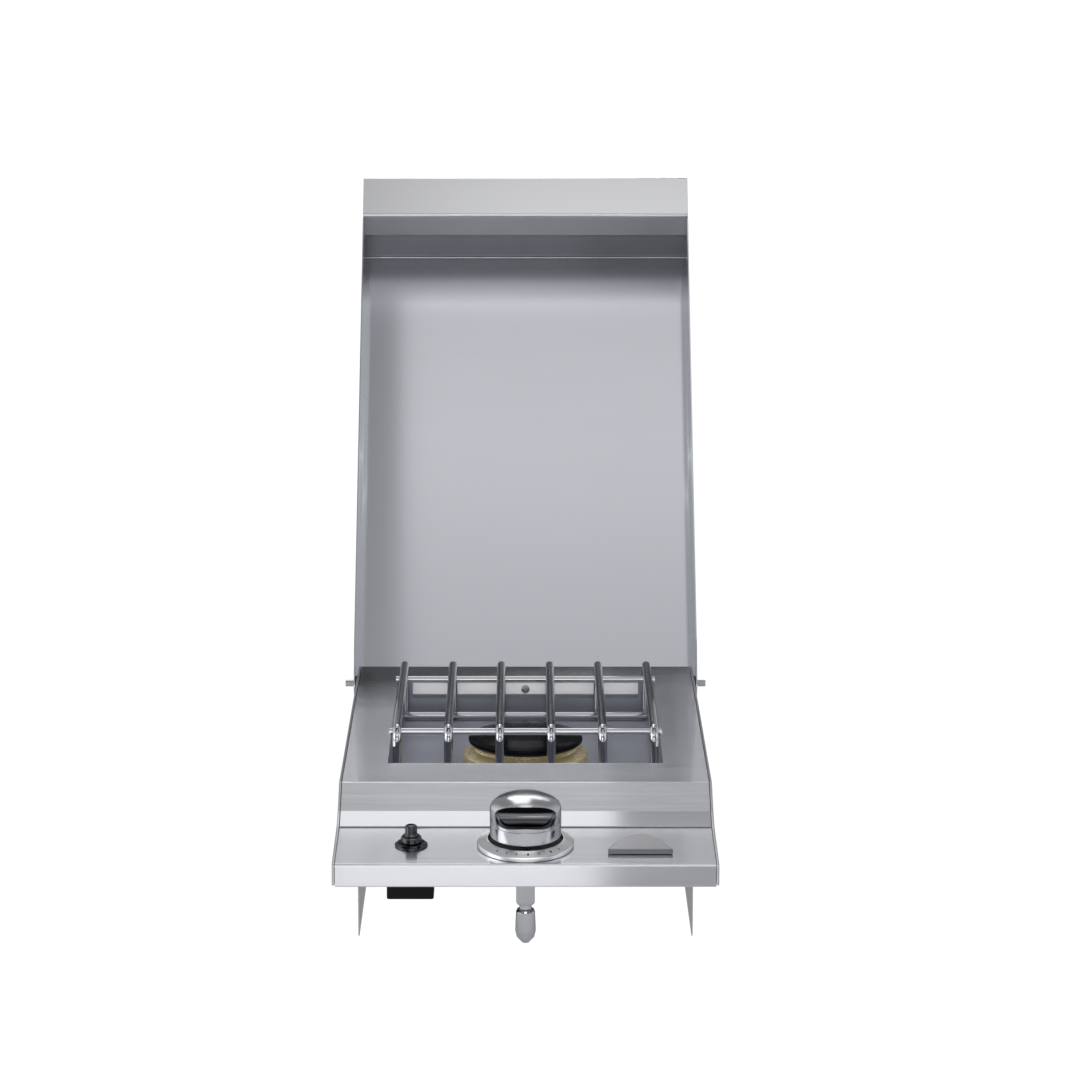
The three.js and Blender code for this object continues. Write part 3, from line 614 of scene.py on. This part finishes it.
# burner pan
z1 = DECK_Z - T - GAP
pan = tray(WELL_HX + T, WELL_Y0 - T, WELL_Y1 + T, FLOOR_Z - T, z1 - T / 2, 5.2, 4.2)
plus(pan, prism(rect(-WELL_HX - 13, WELL_Y0 - 13, WELL_HX + 13, WELL_Y1 + 13, 3), z1 - T, z1, "Z"))
minus(pan, tray(WELL_HX, WELL_Y0, WELL_Y1, FLOOR_Z, z1 + 5, 4.0, 3.0),
      rod(21, FLOOR_Z - 6, FLOOR_Z + 6, (0, BURNER_Y, 0), seg=64), rod(4.4, FLOOR_Z - 6, FLOOR_Z + 6, (52, BURNER_Y + 46, 0), seg=24),
      rod(2.2, WELL_Y1 - 6, WELL_Y1 + 6, (0, 0, REST_SCREW_Z), "Y", 24))
finish_piece(clean(pan, 0.3), "pan_skin", M_BODY, "body", "burner_pan", PAN)
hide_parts("pan_wall_left", "pan_wall_right", "pan_wall_front", "pan_wall_rear")

# grate rest and its screw
y = WELL_Y1 - GAP
line = fillet([(y, 6), (y - 1.2, 6), (y - 4.6, -8), (y - 1, -13)], {1: 0.6, 2: 1.8}, 6)
gr = prism(sheet(line, -1.5), -114.8, 114.8)
minus(gr, rod(2.1, y - 14, y + 3, (0, 0, REST_SCREW_Z), "Y", 24))
bevel(clean(gr, 0.3), 0.25, 2, 40)
finish_piece(gr, "grate_rest_strip", M_BODY, "body", "grate_rest", STRIP)
hd = lathe([(0, 3.0), (1.2, 2.95), (2.4, 2.6), (3.3, 1.9), (4.0, 1.0), (4.2, 0.4), (4.2, 0), (0, 0)], 40)
minus(hd, block(-2.4, -0.45, 1.4, 2.4, 0.45, 4), block(-0.45, -2.4, 1.4, 0.45, 2.4, 4))
hd.data.transform(Matrix.Translation((0, y - 4.9, REST_SCREW_Z)) @ Matrix.Rotation(math.pi / 2, 4, "X"))
plus(hd, rod(1.8, y - 5.5, WELL_Y1 + 6, (0, 0, REST_SCREW_Z), "Y", 24))
finish_piece(hd, "rest_screw_head", M_BODY, "body", "rest_screw", ZINC)

# ------------------------------------------------------------------ grate
for i in range(6):
    x = (i - 2.5) * ROD_PITCH
    foot = FLOOR_Z + GAP + 0.1
    pts = fillet([(ROD_Y0, foot), (ROD_Y0, ROD_Z), (ROD_Y1, ROD_Z), (ROD_Y1, foot)], {1: 11.0, 2: 6.5}, 12)
    finish_piece(sweep([(x, p.x, p.y) for p in pts], ROD_R, 32), f"grate_bend_{i + 1}", M_BODY, "body", f"grate_rod_{i + 1}", ROD, False, 50)
for n, ya, za, hx in (("front", ROD_Y0 + 9.5, 22.6, BAR_HX), ("rear", -63, 20.5, BAR_HX), ("low", ROD_Y1 - 7.95, -25.6, 2.5 * ROD_PITCH)):
    b = sweep([(-hx, ya, za), (-hx / 2, ya, za), (0, ya, za), (hx / 2, ya, za), (hx, ya, za)], BAR_R, 32)
    finish_piece(b, "grate_cross_" + n, M_BODY, "body", "grate_bar_" + n, ROD, False, 50)

# ------------------------------------------------------------------ burner
out = fillet([(17, -29.6), (54, -29.6), (60.2, -27.4), (61.9, -23.6), (60.2, -19.2), (50.5, -14.6), (49, -12.8), (49, -10.6), (17, -10.6)],
             {1: 1.5, 2: 2.5, 3: 4.0, 4: 2.0, 5: 1.0, 6: 0.6, 7: 0.3}, 6, True)
base = lathe([(p.x, p.y) for p in out], 144, (0, BURNER_Y, 0))
ports = None
for i in range(36):
    a = 2 * math.pi * (i + 0.5) / 36
    p = rod(1.15, 40, 66, axis="X", seg=12)
    p.data.transform(Matrix.Translation((0, BURNER_Y, -15.2)) @ Matrix.Rotation(a, 4, "Z") @ Matrix.Rotation(math.radians(-22), 4, "Y") @ Matrix.Translation((-3, 0, 19.5)))
    if ports is None:
        ports = p
    else:
        bm = bmesh.new()
        bm.from_mesh(ports.data)
        bm.from_mesh(p.data)
        bm.to_mesh(ports.data)
        bm.free()
        bpy.data.objects.remove(p)
minus(base, ports)
finish_piece(base, "burner_ring", M_BODY, "body", "burner_base", BRASS, False, 40)
out = fillet([(0, -10.3), (47, -10.3), (52.5, -9.9), (55.8, -6.8), (55.2, -3.6), (50, -1.4), (38, 1.9), (20, 4.7), (0, 5.8)],
             {1: 0.5, 2: 1.5, 3: 2.4, 4: 2.2, 5: 20, 6: 60, 7: 120}, 8)
finish_piece(lathe([(max(p.x, 0), p.y) for p in out], 144, (0, BURNER_Y, 0)), "burner_lid", M_BODY, "body", "burner_cap", ENAMEL, False, 40)

# gas path under the pan
mt = plus(rod(13, -462, BURNER_Y + 15, (0, 0, JET_Z), "Y", 48, 0.6), rod(16, JET_Z - 8, -12, (0, BURNER_Y, 0), seg=48))
minus(mt, rod(11, -470, BURNER_Y + 8, (0, 0, JET_Z), "Y", 48), rod(13, JET_Z - 2, 0, (0, BURNER_Y, 0), seg=48), block(-30, -455, JET_Z - 5, 30, -437, JET_Z + 5))
finish_piece(mt, "venturi_tube", M_BODY, "body", "mixing_tube", ZINC, False, 40)
sl = minus(rod(14.6, -460, -434, (0, 0, JET_Z), "Y", 48, 0.3), rod(13.3, -466, -430, (0, 0, JET_Z), "Y", 48), block(-30, -452, JET_Z - 3, 30, -443, JET_Z + 3))
finish_piece(sl, "air_sleeve", M_BODY, "body", "air_shutter", DULL, False, 40)
refine("tube_strap", 0.3, DULL)
el = lathe([(p.x, p.y) for p in fillet([(0, -62), (3.4, -62), (3.4, FLOOR_Z + 0.3), (5.6, FLOOR_Z + 0.3), (5.6, FLOOR_Z + 3.2), (3.4, FLOOR_Z + 3.2), (3.4, -17), (0, -17)],
                                       {1: 0.6, 3: 0.4, 4: 0.8, 6: 1.0}, 5)], 40, (52, BURNER_Y + 46, 0))
finish_piece(el, "electrode_body", M_BODY, "body", "electrode", CERAMIC, False, 40)
tp = fillet([(52, -16.7), (52, -10.4), (45.6, -10.4)], {1: 2.2}, 6)
finish_piece(sweep([(p.x, BURNER_Y + 46, p.y) for p in tp], 0.95, 16, 0.3), "electrode_wire", M_BODY, "body", "electrode_tip", ZINC, False, 40)

# ------------------------------------------------------------------ lower box
for n in ("box_side_left", "box_side_right"):
    refine(n, 0.2, SIDE)
refine("box_rear", 0.2, DULL)
hs = fillet([(-346, -70), (-338, -97), (-60, -97), (-52, -70)], {1: 2.4, 2: 2.4}, 6)
sh = prism(sheet(hs, T), -CUT_W / 2 + T + GAP, CUT_W / 2 - T - GAP)
minus(sh, prism(rect(-26, -360, 26, -232, 5), -120, -60, "Z"))
finish_piece(bevel(clean(sh, 0.3), 0.2, 2, 40), "shield_skin", M_BODY, "body", "heat_shield", DULL)

# ------------------------------------------------------------------ knob and bezel
pts = fillet([(9, 0.3), (BEZEL_R, 0.3), (BEZEL_R, 3.2), (BEZEL_R - 1, 4.2), (34.8, 7.8), (33.6, 7.8), (33.4, 4), (9, 4)],
             {1: 0.4, 2: 0.5, 3: 0.6, 4: 0.5, 5: 0.4, 6: 0.3}, 5, True)
finish_piece(lathe([(p.x, p.y) for p in pts], 160), "bezel_ring", M_PANEL, "body", "knob_bezel", RING, False, 30)
marks = None
slope = math.atan2(7.8 - 4.2, BEZEL_R - 1 - 34.8)
for a in (-130.5, -116, -101.8, -86.6, -72, -54.5, -40):
    r0 = 38.6
    w, h = (0.8, 1.3) if a in (-86.6, -54.5) else (0.55, 0.95)
    b = block(-h, -w, -0.25, h, w, 0.05)
    z = 4.2 + (BEZEL_R - 1 - r0) * math.tan(slope)
    b.data.transform(Matrix.Rotation(math.radians(a), 4, "Z") @ Matrix.Translation((r0, 0, z)) @ Matrix.Rotation(slope, 4, "Y"))
    if marks is None:
        marks = b
    else:
        bm = bmesh.new()
        bm.from_mesh(marks.data)
        bm.from_mesh(b.data)
        bm.to_mesh(marks.data)
        bm.free()
        bpy.data.objects.remove(b)
finish_piece(marks, "bezel_marks", M_PANEL, "body", None, PAINT, False, 40)

dome = spline([(32, 36.6), (31.2, 38.8), (29.5, 41), (26.4, 43.4), (22, 45.6), (16, 47.6), (8, 49), (0, 49.4)], 5)
pts = fillet([(0, 14.5), (8, 14.5), (8, 26), (28.4, 26), (28.4, 11), (KNOB_R - 0.2, 11), (KNOB_R, 12.2), (KNOB_R, 22.5), (KNOB_R - 1.1, 23.1), (KNOB_R - 1.1, 24.0), (KNOB_R, 24.6)],
             {5: 0.2, 6: 0.4, 7: 0.3, 8: 0.3, 9: 0.3}, 6) + dome
kn = lathe([(max(p[0], 0), p[1]) for p in pts], 160)
front = [(-24.5, 62)] + [(-13.5 + 11 * math.cos(math.pi + k * math.pi / 24), 38.5 + 11 * math.sin(math.pi + k * math.pi / 24)) for k in range(13)] \
    + [(13.5 + 11 * math.cos(1.5 * math.pi + k * math.pi / 24), 38.5 + 11 * math.sin(1.5 * math.pi + k * math.pi / 24)) for k in range(13)] + [(24.5, 62)]
recess = boolean(prism(front, -40, 0, "Y"), rod(9.5, -30, 30, (0, -26.5, 35.4), "X", 96), "INTERSECT")
minus(kn, recess)
bevel(clean(kn, 0.05), 0.55, 3, 38)
minus(kn, rod(4.3, 10, 32, seg=32))
finish_piece(kn, "knob_shell", M_PANEL, "knob", "knob", KNOB, False, 30)
st = minus(rod(4, -17.6, 31.6, seg=40, chamfer=0.5), block(2.9, -6, 16, 6, 6, 40))
finish_piece(st, "stem_bar", M_PANEL, "knob", "valve_stem", ZINC, False, 30)
pts = fillet([(4.3, -4.4), (9.2, -4.4), (9.2, -3), (4.3, -3)], {1: 0.3, 2: 0.3}, 3, True)
finish_piece(lathe([(p.x, p.y) for p in pts], 64), "stem_ring", M_PANEL, "push_collar", "stem_retainer", DULL, False, 30)


def coil(r, wire, z0, z1, turns, per=40, sides=12):
    n = int(turns * per)
    p = [(r * math.cos(2 * math.pi * turns * i / n), r * math.sin(2 * math.pi * turns * i / n), z0 + wire + (z1 - z0 - 2 * wire) * i / n) for i in range(n + 1)]
    return sweep(p, wire, sides, wire * 0.4)


cs = finish_piece(coil(6.2, 0.6, -12.4, -4.7, 3), "stem_coil", M_PANEL, "body", "stem_spring", ZINC, False, 60)
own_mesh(cs)
vb = bevel(plus(block(-14, -15, -27.5, 14, 16, -17.9), block(-7, 3, -31.5, 7, 16, -27)), 1.0, 3)
plus(vb, rod(10.6, -18.6, -12.7, seg=48, chamfer=0.6), bevel(block(-20, -6, -19, 20, 6, -16.4, corner=3), 0.4))
minus(vb, rod(4.25, -22, 0, seg=40))
finish_piece(vb, "valve_body", M_PANEL, "body", "gas_valve", BRASS)
for s, n in ((-1, "left"), (1, "right")):
    b = plus(hexa(5.5, -15.9, -13.3, 0.4, 0, (s * 17, 0), 24), rod(1.6, -16.1, -1.5, (s * 17, 0, 0), seg=20))
    finish_piece(b, "valve_bolt_" + n, M_PANEL, "body", "valve_screw_" + n, ZINC)
inj = plus(rod(5, -476.5, -469, (0, 0, JET_Z), "Y", 32, 0.4), rod(3, -470, -458, (0, 0, JET_Z), "Y", 32, 0.5))
finish_piece(inj, "jet", M_BODY, "body", "injector", BRASS, False, 40)

# ------------------------------------------------------------------ igniter
pts = fillet([(8.7, 0.3), (14.8, 0.3), (14.8, 1.5), (12.4, 3.4), (8.7, 3.4)], {1: 0.2, 2: 0.5, 3: 0.8}, 5, True)
finish_piece(lathe([(p.x, p.y) for p in pts], 96), "ign_flange", M_IGN, "body", "igniter_flange", DARK_CHROME, False, 30)
pts = fillet([(6.75, -10), (6.75, 8.9), (7.4, 9.4), (8.2, 9.4), (9.3, 7.9), (9.3, 4.2), (8.9, 3.7), (8.1, 3.7), (8.1, -28), (0, -28), (0, -10)],
             {1: 0.2, 2: 0.3, 3: 0.5, 4: 0.8, 5: 0.4, 8: 0.6}, 4, True)
hs2 = lathe([(p.x, p.y) for p in pts], 96)
finish_piece(hs2, "ign_collar", M_IGN, "body", "igniter_housing", DARK_CHROME, False, 30)
nut = minus(hexa(23, -5.4, -1.6, 0.8), rod(8.4, -10, 2, seg=48))
finish_piece(nut, "ign_nut", M_IGN, "body", "igniter_locknut", DULL)
pts = fillet([(0, -3), (6.5, -3), (6.5, 10.6), (5.4, 11.8), (5.4, 18.4), (4.3, 19.5), (0, 19.7)], {1: 0.4, 2: 0.8, 3: 0.6, 4: 1.2, 5: 2.0}, 6)
finish_piece(lathe([(max(p.x, 0), p.y) for p in pts], 96), "ign_button", M_IGN, "igniter_button", "igniter_button", DARK_CHROME, False, 30)
cs = finish_piece(coil(4.6, 0.45, -9.7, -3.3, 3), "ign_coil", M_IGN, "body", "igniter_spring", ZINC, False, 60)
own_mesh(cs)
mb = bevel(block(-CTRL_X - 23.4, -472, -78.4, -CTRL_X + 19.2, -441, -24, corner=2.5), 0.9, 3)
finish_piece(mb, "module_case", M_BODY, "body", "ignition_module", PLASTIC)
line = fillet([(-468, -22), (-439.2, -22), (-439.2, -60)], {1: 2.0}, 6)
finish_piece(bevel(prism(sheet(line, T), -CTRL_X - 10, -CTRL_X + 10), 0.2, 2, 40), "bracket_skin", M_BODY, "body", "module_bracket", DULL)

# ------------------------------------------------------------------ half-moon plate
R = 28.8
pts = [(-R, 0)] + [(R * math.cos(math.pi - i / 48 * math.pi), 1.2 + (R - 0.5) * math.sin(i / 48 * math.pi) ** 2) for i in range(49)] + [(R, 0)]
bd = prism(pts[::-1], 0.3, 12.3, "Z")
top = block(-40, -20, 0, 40, 60, 20)
top.data.transform(Matrix.Translation((0, 0, 5.2)) @ Matrix.Rotation(math.atan2(3.6, R), 4, "X"))
minus(bd, top)
bevel(clean(bd, 0.3), 0.7, 3, 50)
plus(bd, rod(1.5, -6, 1.5, (-8, 23.3, 0), seg=20), rod(1.5, -6, 1.5, (8, 23.3, 0), seg=20))
bd.data.transform(Matrix.Translation((CTRL_X, -23.3, 0)))
finish_piece(bd, "half_moon", M_PANEL, "body", "badge", SATIN)

# ------------------------------------------------------------------ gas inlet
yv = -488.0
nu = hexa(17.0, -74.8, -56, 1.0, math.pi / 6, (0, yv), 48)
plus(nu, rod(5.5, -57, -51.5, (0, yv, 0), seg=40, chamfer=0.4), lathe([(p.x, p.y) for p in fillet([(0, -77), (7.6, -77), (8.5, -75.4), (8.5, -74), (0, -74)], {1: 0.3, 2: 0.5}, 4)], 64, (0, yv, 0)))
finish_piece(nu, "inlet_nut_hex", M_BODY, "body", "inlet_nut", CHROME)
pts = fillet([(0, -113.6), (3.0, -113.5), (8.0, -108), (9.4, -102), (9.2, -96), (8.6, -84), (7.6, -81.8), (5.6, -81.2), (5.6, -77.3), (0, -77.3)],
             {1: 1.5, 2: 3.0, 3: 3.0, 4: 4.0, 5: 2.0, 6: 1.0, 7: 0.3, 8: 0.3}, 6)
eb = lathe([(max(p.x, 0), p.y) for p in pts], 64, (0, yv, 0))
plus(eb, rod(8.2, yv, yv + 24, (0, 0, -101), "Y", 48, 0.8), rod(6.6, yv + 20, yv + 40, (0, 0, -101), "Y", 48, 1.0))
minus(eb, rod(3.6, yv + 12, yv + 44, (0, 0, -101), "Y", 32))
finish_piece(eb, "inlet_body", M_BODY, "body", "inlet_elbow", CHROME, False, 40)

# ------------------------------------------------------------------ hinge and stops
for s, n in ((-1, "left"), (1, "right")):
    def X(a, b, s=s):
        return (a, b) if s > 0 else (-b, -a)
    h = hexa(12.4 * math.sqrt(3) / 2 * 1.02, 162, 168.6, 0.7)
    h.data.transform(Matrix.Rotation(s * math.pi / 2, 4, "Y"))
    plus(h, rod(PIN_R, *X(165, 184), axis="X", seg=40, chamfer=0.5))
    finish_piece(h, "pin_" + n, M_BODY, "body", "hinge_pin_" + n, ZINC)
    w = minus(rod(7.5, *X(171.8, 174), axis="X", seg=48, chamfer=0.35), rod(PIN_R + 0.15, *X(170, 176), axis="X", seg=40))
    finish_piece(w, "washer_" + n, M_BODY, "body", "hinge_washer_" + n, RUBBER, False, 40)
    finish_piece(rod(3.6, DECK_REAR - 3.1, DECK_REAR + 1.5, (s * 120, 0, -37), "Y", 40, 0.6), "buffer_" + n, M_BODY, "body", "lid_stop_" + n, RUBBER, False, 40)

# ------------------------------------------------------------------ lid
hx = LID_W / 2
line = fillet([(11.2, 50), (-12.5, LID_TOP + T), (-LID_FRONT - T, LID_TOP + T), (-LID_FRONT - T, 31)], {1: 6.0, 2: 3.2}, 8)
lid = prism(sheet(line, -T), -hx + 0.4, hx - 0.4)
for s in (-1, 1):
    x0 = hx - T if s > 0 else -hx
    out = fillet([(-12, LID_TOP + T), (12, 50), (9.6, -4.6), (-42.4, -LID_EDGE), (-LID_FOOT + 1.8, -LID_EDGE), (-LID_FRONT + 0.6, 31), (-LID_FRONT, 31), (-LID_FRONT, LID_TOP + T)],
                 {0: 6.0, 1: 5.0, 2: 8.0, 3: 6.0, 4: 1.0, 7: 2.4}, 8, True)
    fl = prism(out, x0, x0 + T)
    minus(fl, rod(PIN_R + 0.1, x0 - 3, x0 + T + 3, axis="X", seg=32))
    plus(lid, fl)
bevel(clean(lid, 0.3), 0.3, 2, 45)
finish_piece(lid, "lid_skin", M_LID, "lid", "lid_shell", LID)
hl = fillet([(-LID_FRONT - T, 30.7), (-LID_FOOT - T - 0.1, -LID_EDGE + T), (-LID_FOOT - LIP, -LID_EDGE + T), (-LID_FOOT - LIP, -LID_EDGE + T + 4)], {1: 2.2, 2: 1.6}, 8)
hd2 = bevel(prism(sheet(hl, -T), -hx, hx), 0.3, 2, 45)
finish_piece(hd2, "lid_lip", M_LID, "lid", "lid_handle", HANDLE)

# ------------------------------------------------------------------ floor, light, camera
fm, nt, sh, ln = new_mat("pale_floor")
sh.inputs["Base Color"].default_value = (0.55, 0.55, 0.56, 1)
sh.inputs["Roughness"].default_value = 0.95
sh.inputs["Specular IOR Level"].default_value = 0.1
sh.inputs["Emission Color"].default_value = (1, 1, 1, 1)
sh.inputs["Emission Strength"].default_value = 0.30
glow = nt.nodes.new("ShaderNodeEmission")
glow.inputs["Color"].default_value = (1, 1, 1, 1)
glow.inputs["Strength"].default_value = 1.05
seen = nt.nodes.new("ShaderNodeLightPath")
fmix = nt.nodes.new("ShaderNodeMixShader")
ln.new(seen.outputs["Is Camera Ray"], fmix.inputs[0])
ln.new(sh.outputs[0], fmix.inputs[1])
ln.new(glow.outputs[0], fmix.inputs[2])
ln.new(fmix.outputs[0], nt.nodes["Material Output"].inputs["Surface"])
floor = solid([(-30, -30, 0), (30, -30, 0), (30, 30, 0), (-30, 30, 0)], [(0, 1, 2, 3)], "floor")
floor.data.transform(Matrix.Translation((0, 0, -0.0005)))
floor.data.materials.append(fm)

world = bpy.data.worlds.new("studio")
scene.world = world
world.use_nodes = True
wt = world.node_tree
bg = wt.nodes["Background"]
co = wt.nodes.new("ShaderNodeTexCoord").outputs["Generated"]
sep = wt.nodes.new("ShaderNodeSeparateXYZ")
wt.links.new(co, sep.inputs[0])
neg = wt.nodes.new("ShaderNodeMath")
neg.operation = "MULTIPLY"
neg.inputs[1].default_value = -1
wt.links.new(sep.outputs["Y"], neg.inputs[0])
ang = wt.nodes.new("ShaderNodeMath")
ang.operation = "ARCTAN2"
wt.links.new(sep.outputs["Z"], ang.inputs[0])
wt.links.new(neg.outputs[0], ang.inputs[1])
frac = wt.nodes.new("ShaderNodeMapRange")          # 0 at the front horizon, 1 at the rear horizon
frac.inputs["From Max"].default_value = math.pi
wt.links.new(ang.outputs[0], frac.inputs["Value"])


def world_ramp(fac, stops, tint=(1, 1, 1)):
    r = wt.nodes.new("ShaderNodeValToRGB")
    el = r.color_ramp.elements
    while len(el) < len(stops):
        el.new(0.5)
    for e, (p, v) in zip(el, stops):
        e.position, e.color = p, (v * tint[0], v * tint[1], v * tint[2], 1)
    wt.links.new(fac, r.inputs["Fac"])
    return r.outputs["Color"]


DEG = 1 / 180.0
COOL = (0.99, 1.0, 1.03)
# a dim room: brightness from the front horizon (0) over the zenith (90) to the rear horizon (180)
room = world_ramp(frac.outputs[0], [(0.0, 0.24), (12 * DEG, 0.14), (36 * DEG, 0.12), (46 * DEG, 0.48), (68 * DEG, 0.48), (76 * DEG, 0.03), (101 * DEG, 0.03),
                                    (105 * DEG, 0.48), (115 * DEG, 0.45), (121 * DEG, 0.26), (150 * DEG, 0.30), (180 * DEG, 0.30)], COOL)
sx = wt.nodes.new("ShaderNodeMapRange")
sx.inputs["From Min"].default_value, sx.inputs["From Max"].default_value = -1, 1
wt.links.new(sep.outputs["X"], sx.inputs["Value"])
sides = world_ramp(sx.outputs[0], [(0.0, 0.55), (0.14, 0.55), (0.26, 0.0), (0.74, 0.0), (0.86, 0.28), (1.0, 0.28)], COOL)
wm = wt.nodes.new("ShaderNodeMix")
wm.data_type, wm.blend_type = "RGBA", "ADD"
wm.clamp_result = False
wm.inputs["Factor"].default_value = 1.0
wt.links.new(room, wm.inputs["A"])
wt.links.new(sides, wm.inputs["B"])
bg.inputs["Strength"].default_value = 1.0
wt.links.new(wm.outputs["Result"], bg.inputs["Color"])
white = wt.nodes.new("ShaderNodeBackground")
white.inputs["Color"].default_value = (1, 1, 1, 1)
white.inputs["Strength"].default_value = 1.05
lp = wt.nodes.new("ShaderNodeLightPath")
mx = wt.nodes.new("ShaderNodeMixShader")
wt.links.new(lp.outputs["Is Camera Ray"], mx.inputs[0])
wt.links.new(bg.outputs[0], mx.inputs[1])
wt.links.new(white.outputs[0], mx.inputs[2])
wt.links.new(mx.outputs[0], wt.nodes["World Output"].inputs["Surface"])


def softbox(name, loc, aim, size, radiance, colour=(1, 1, 1)):
    """Rectangular studio light of an even brightness, left out of the picture itself."""
    li = bpy.data.lights.new(name, "AREA")
    li.shape = "RECTANGLE"
    li.size, li.size_y = size
    li.energy, li.color = radiance * math.pi * size[0] * size[1], colour
    ob = bpy.data.objects.new(name, li)
    ob.location = loc
    ob.rotation_euler = (Vector(aim) - Vector(loc)).to_track_quat("-Z", "Y").to_euler()
    ob.visible_camera = False
    scene.collection.objects.link(ob)


softbox("key_high", (0.27, -0.4775, 2.159), (0.27, 0.5225, 0.427), (0.94, 0.5), 0.70)
softbox("key_low", (0.27, -0.9105, 1.909), (0.27, 0.0895, 0.177), (0.94, 0.5), 0.27)
softbox("rear_left", (-0.145, 0.906, 1.52), (-0.145, -0.39, 0.13), (0.55, 1.0), 1.35)
softbox("rear_right", (0.42, 1.20, 1.25), (0.42, -0.39, 0.13), (0.56, 0.34), 0.9)
softbox("high_rear", (0.0, 1.566, 5.83), (0, -0.34, 0.14), (1.5, 1.0), 0.9)
softbox("front_low", (-0.10, -2.45, 0.25), (-0.10, -0.47, 0.103), (0.42, 0.40), 1.7)
softbox("front_mid", (0.0, -1.1, 0.40), (0, 0.06, 0.135), (0.50, 0.26), 1.7)
softbox("near_front", (0, -0.668, 0.54), (0, -0.46, 0.14), (0.46, 0.20), 1.0)
softbox("rear_far", (0, 1.6, 1.64), (0, -0.42, 0.12), (1.2, 0.35), 0.9)
softbox("side_left", (-2.4, -0.9, 0.9), (0, -0.1, 0.2), (1.6, 1.4), 1.6)
softbox("side_right", (2.4, -0.7, 0.9), (0, -0.1, 0.2), (1.6, 1.4), 0.5)

cam = bpy.data.cameras.new("camera")
cam.lens, cam.sensor_width = 126.0, 36.0
cam.shift_x = 14.5 / 1080
cam.clip_end = 100
co_ = bpy.data.objects.new("camera", cam)
co_.location = (0, (-3742 + DY) / 1000, (983 + DZ) / 1000)
co_.rotation_euler = (math.radians(90 - 12.55), 0, 0)
scene.collection.objects.link(co_)
scene.camera = co_
scene.view_settings.view_transform = "Standard"
scene.view_settings.look = "None"
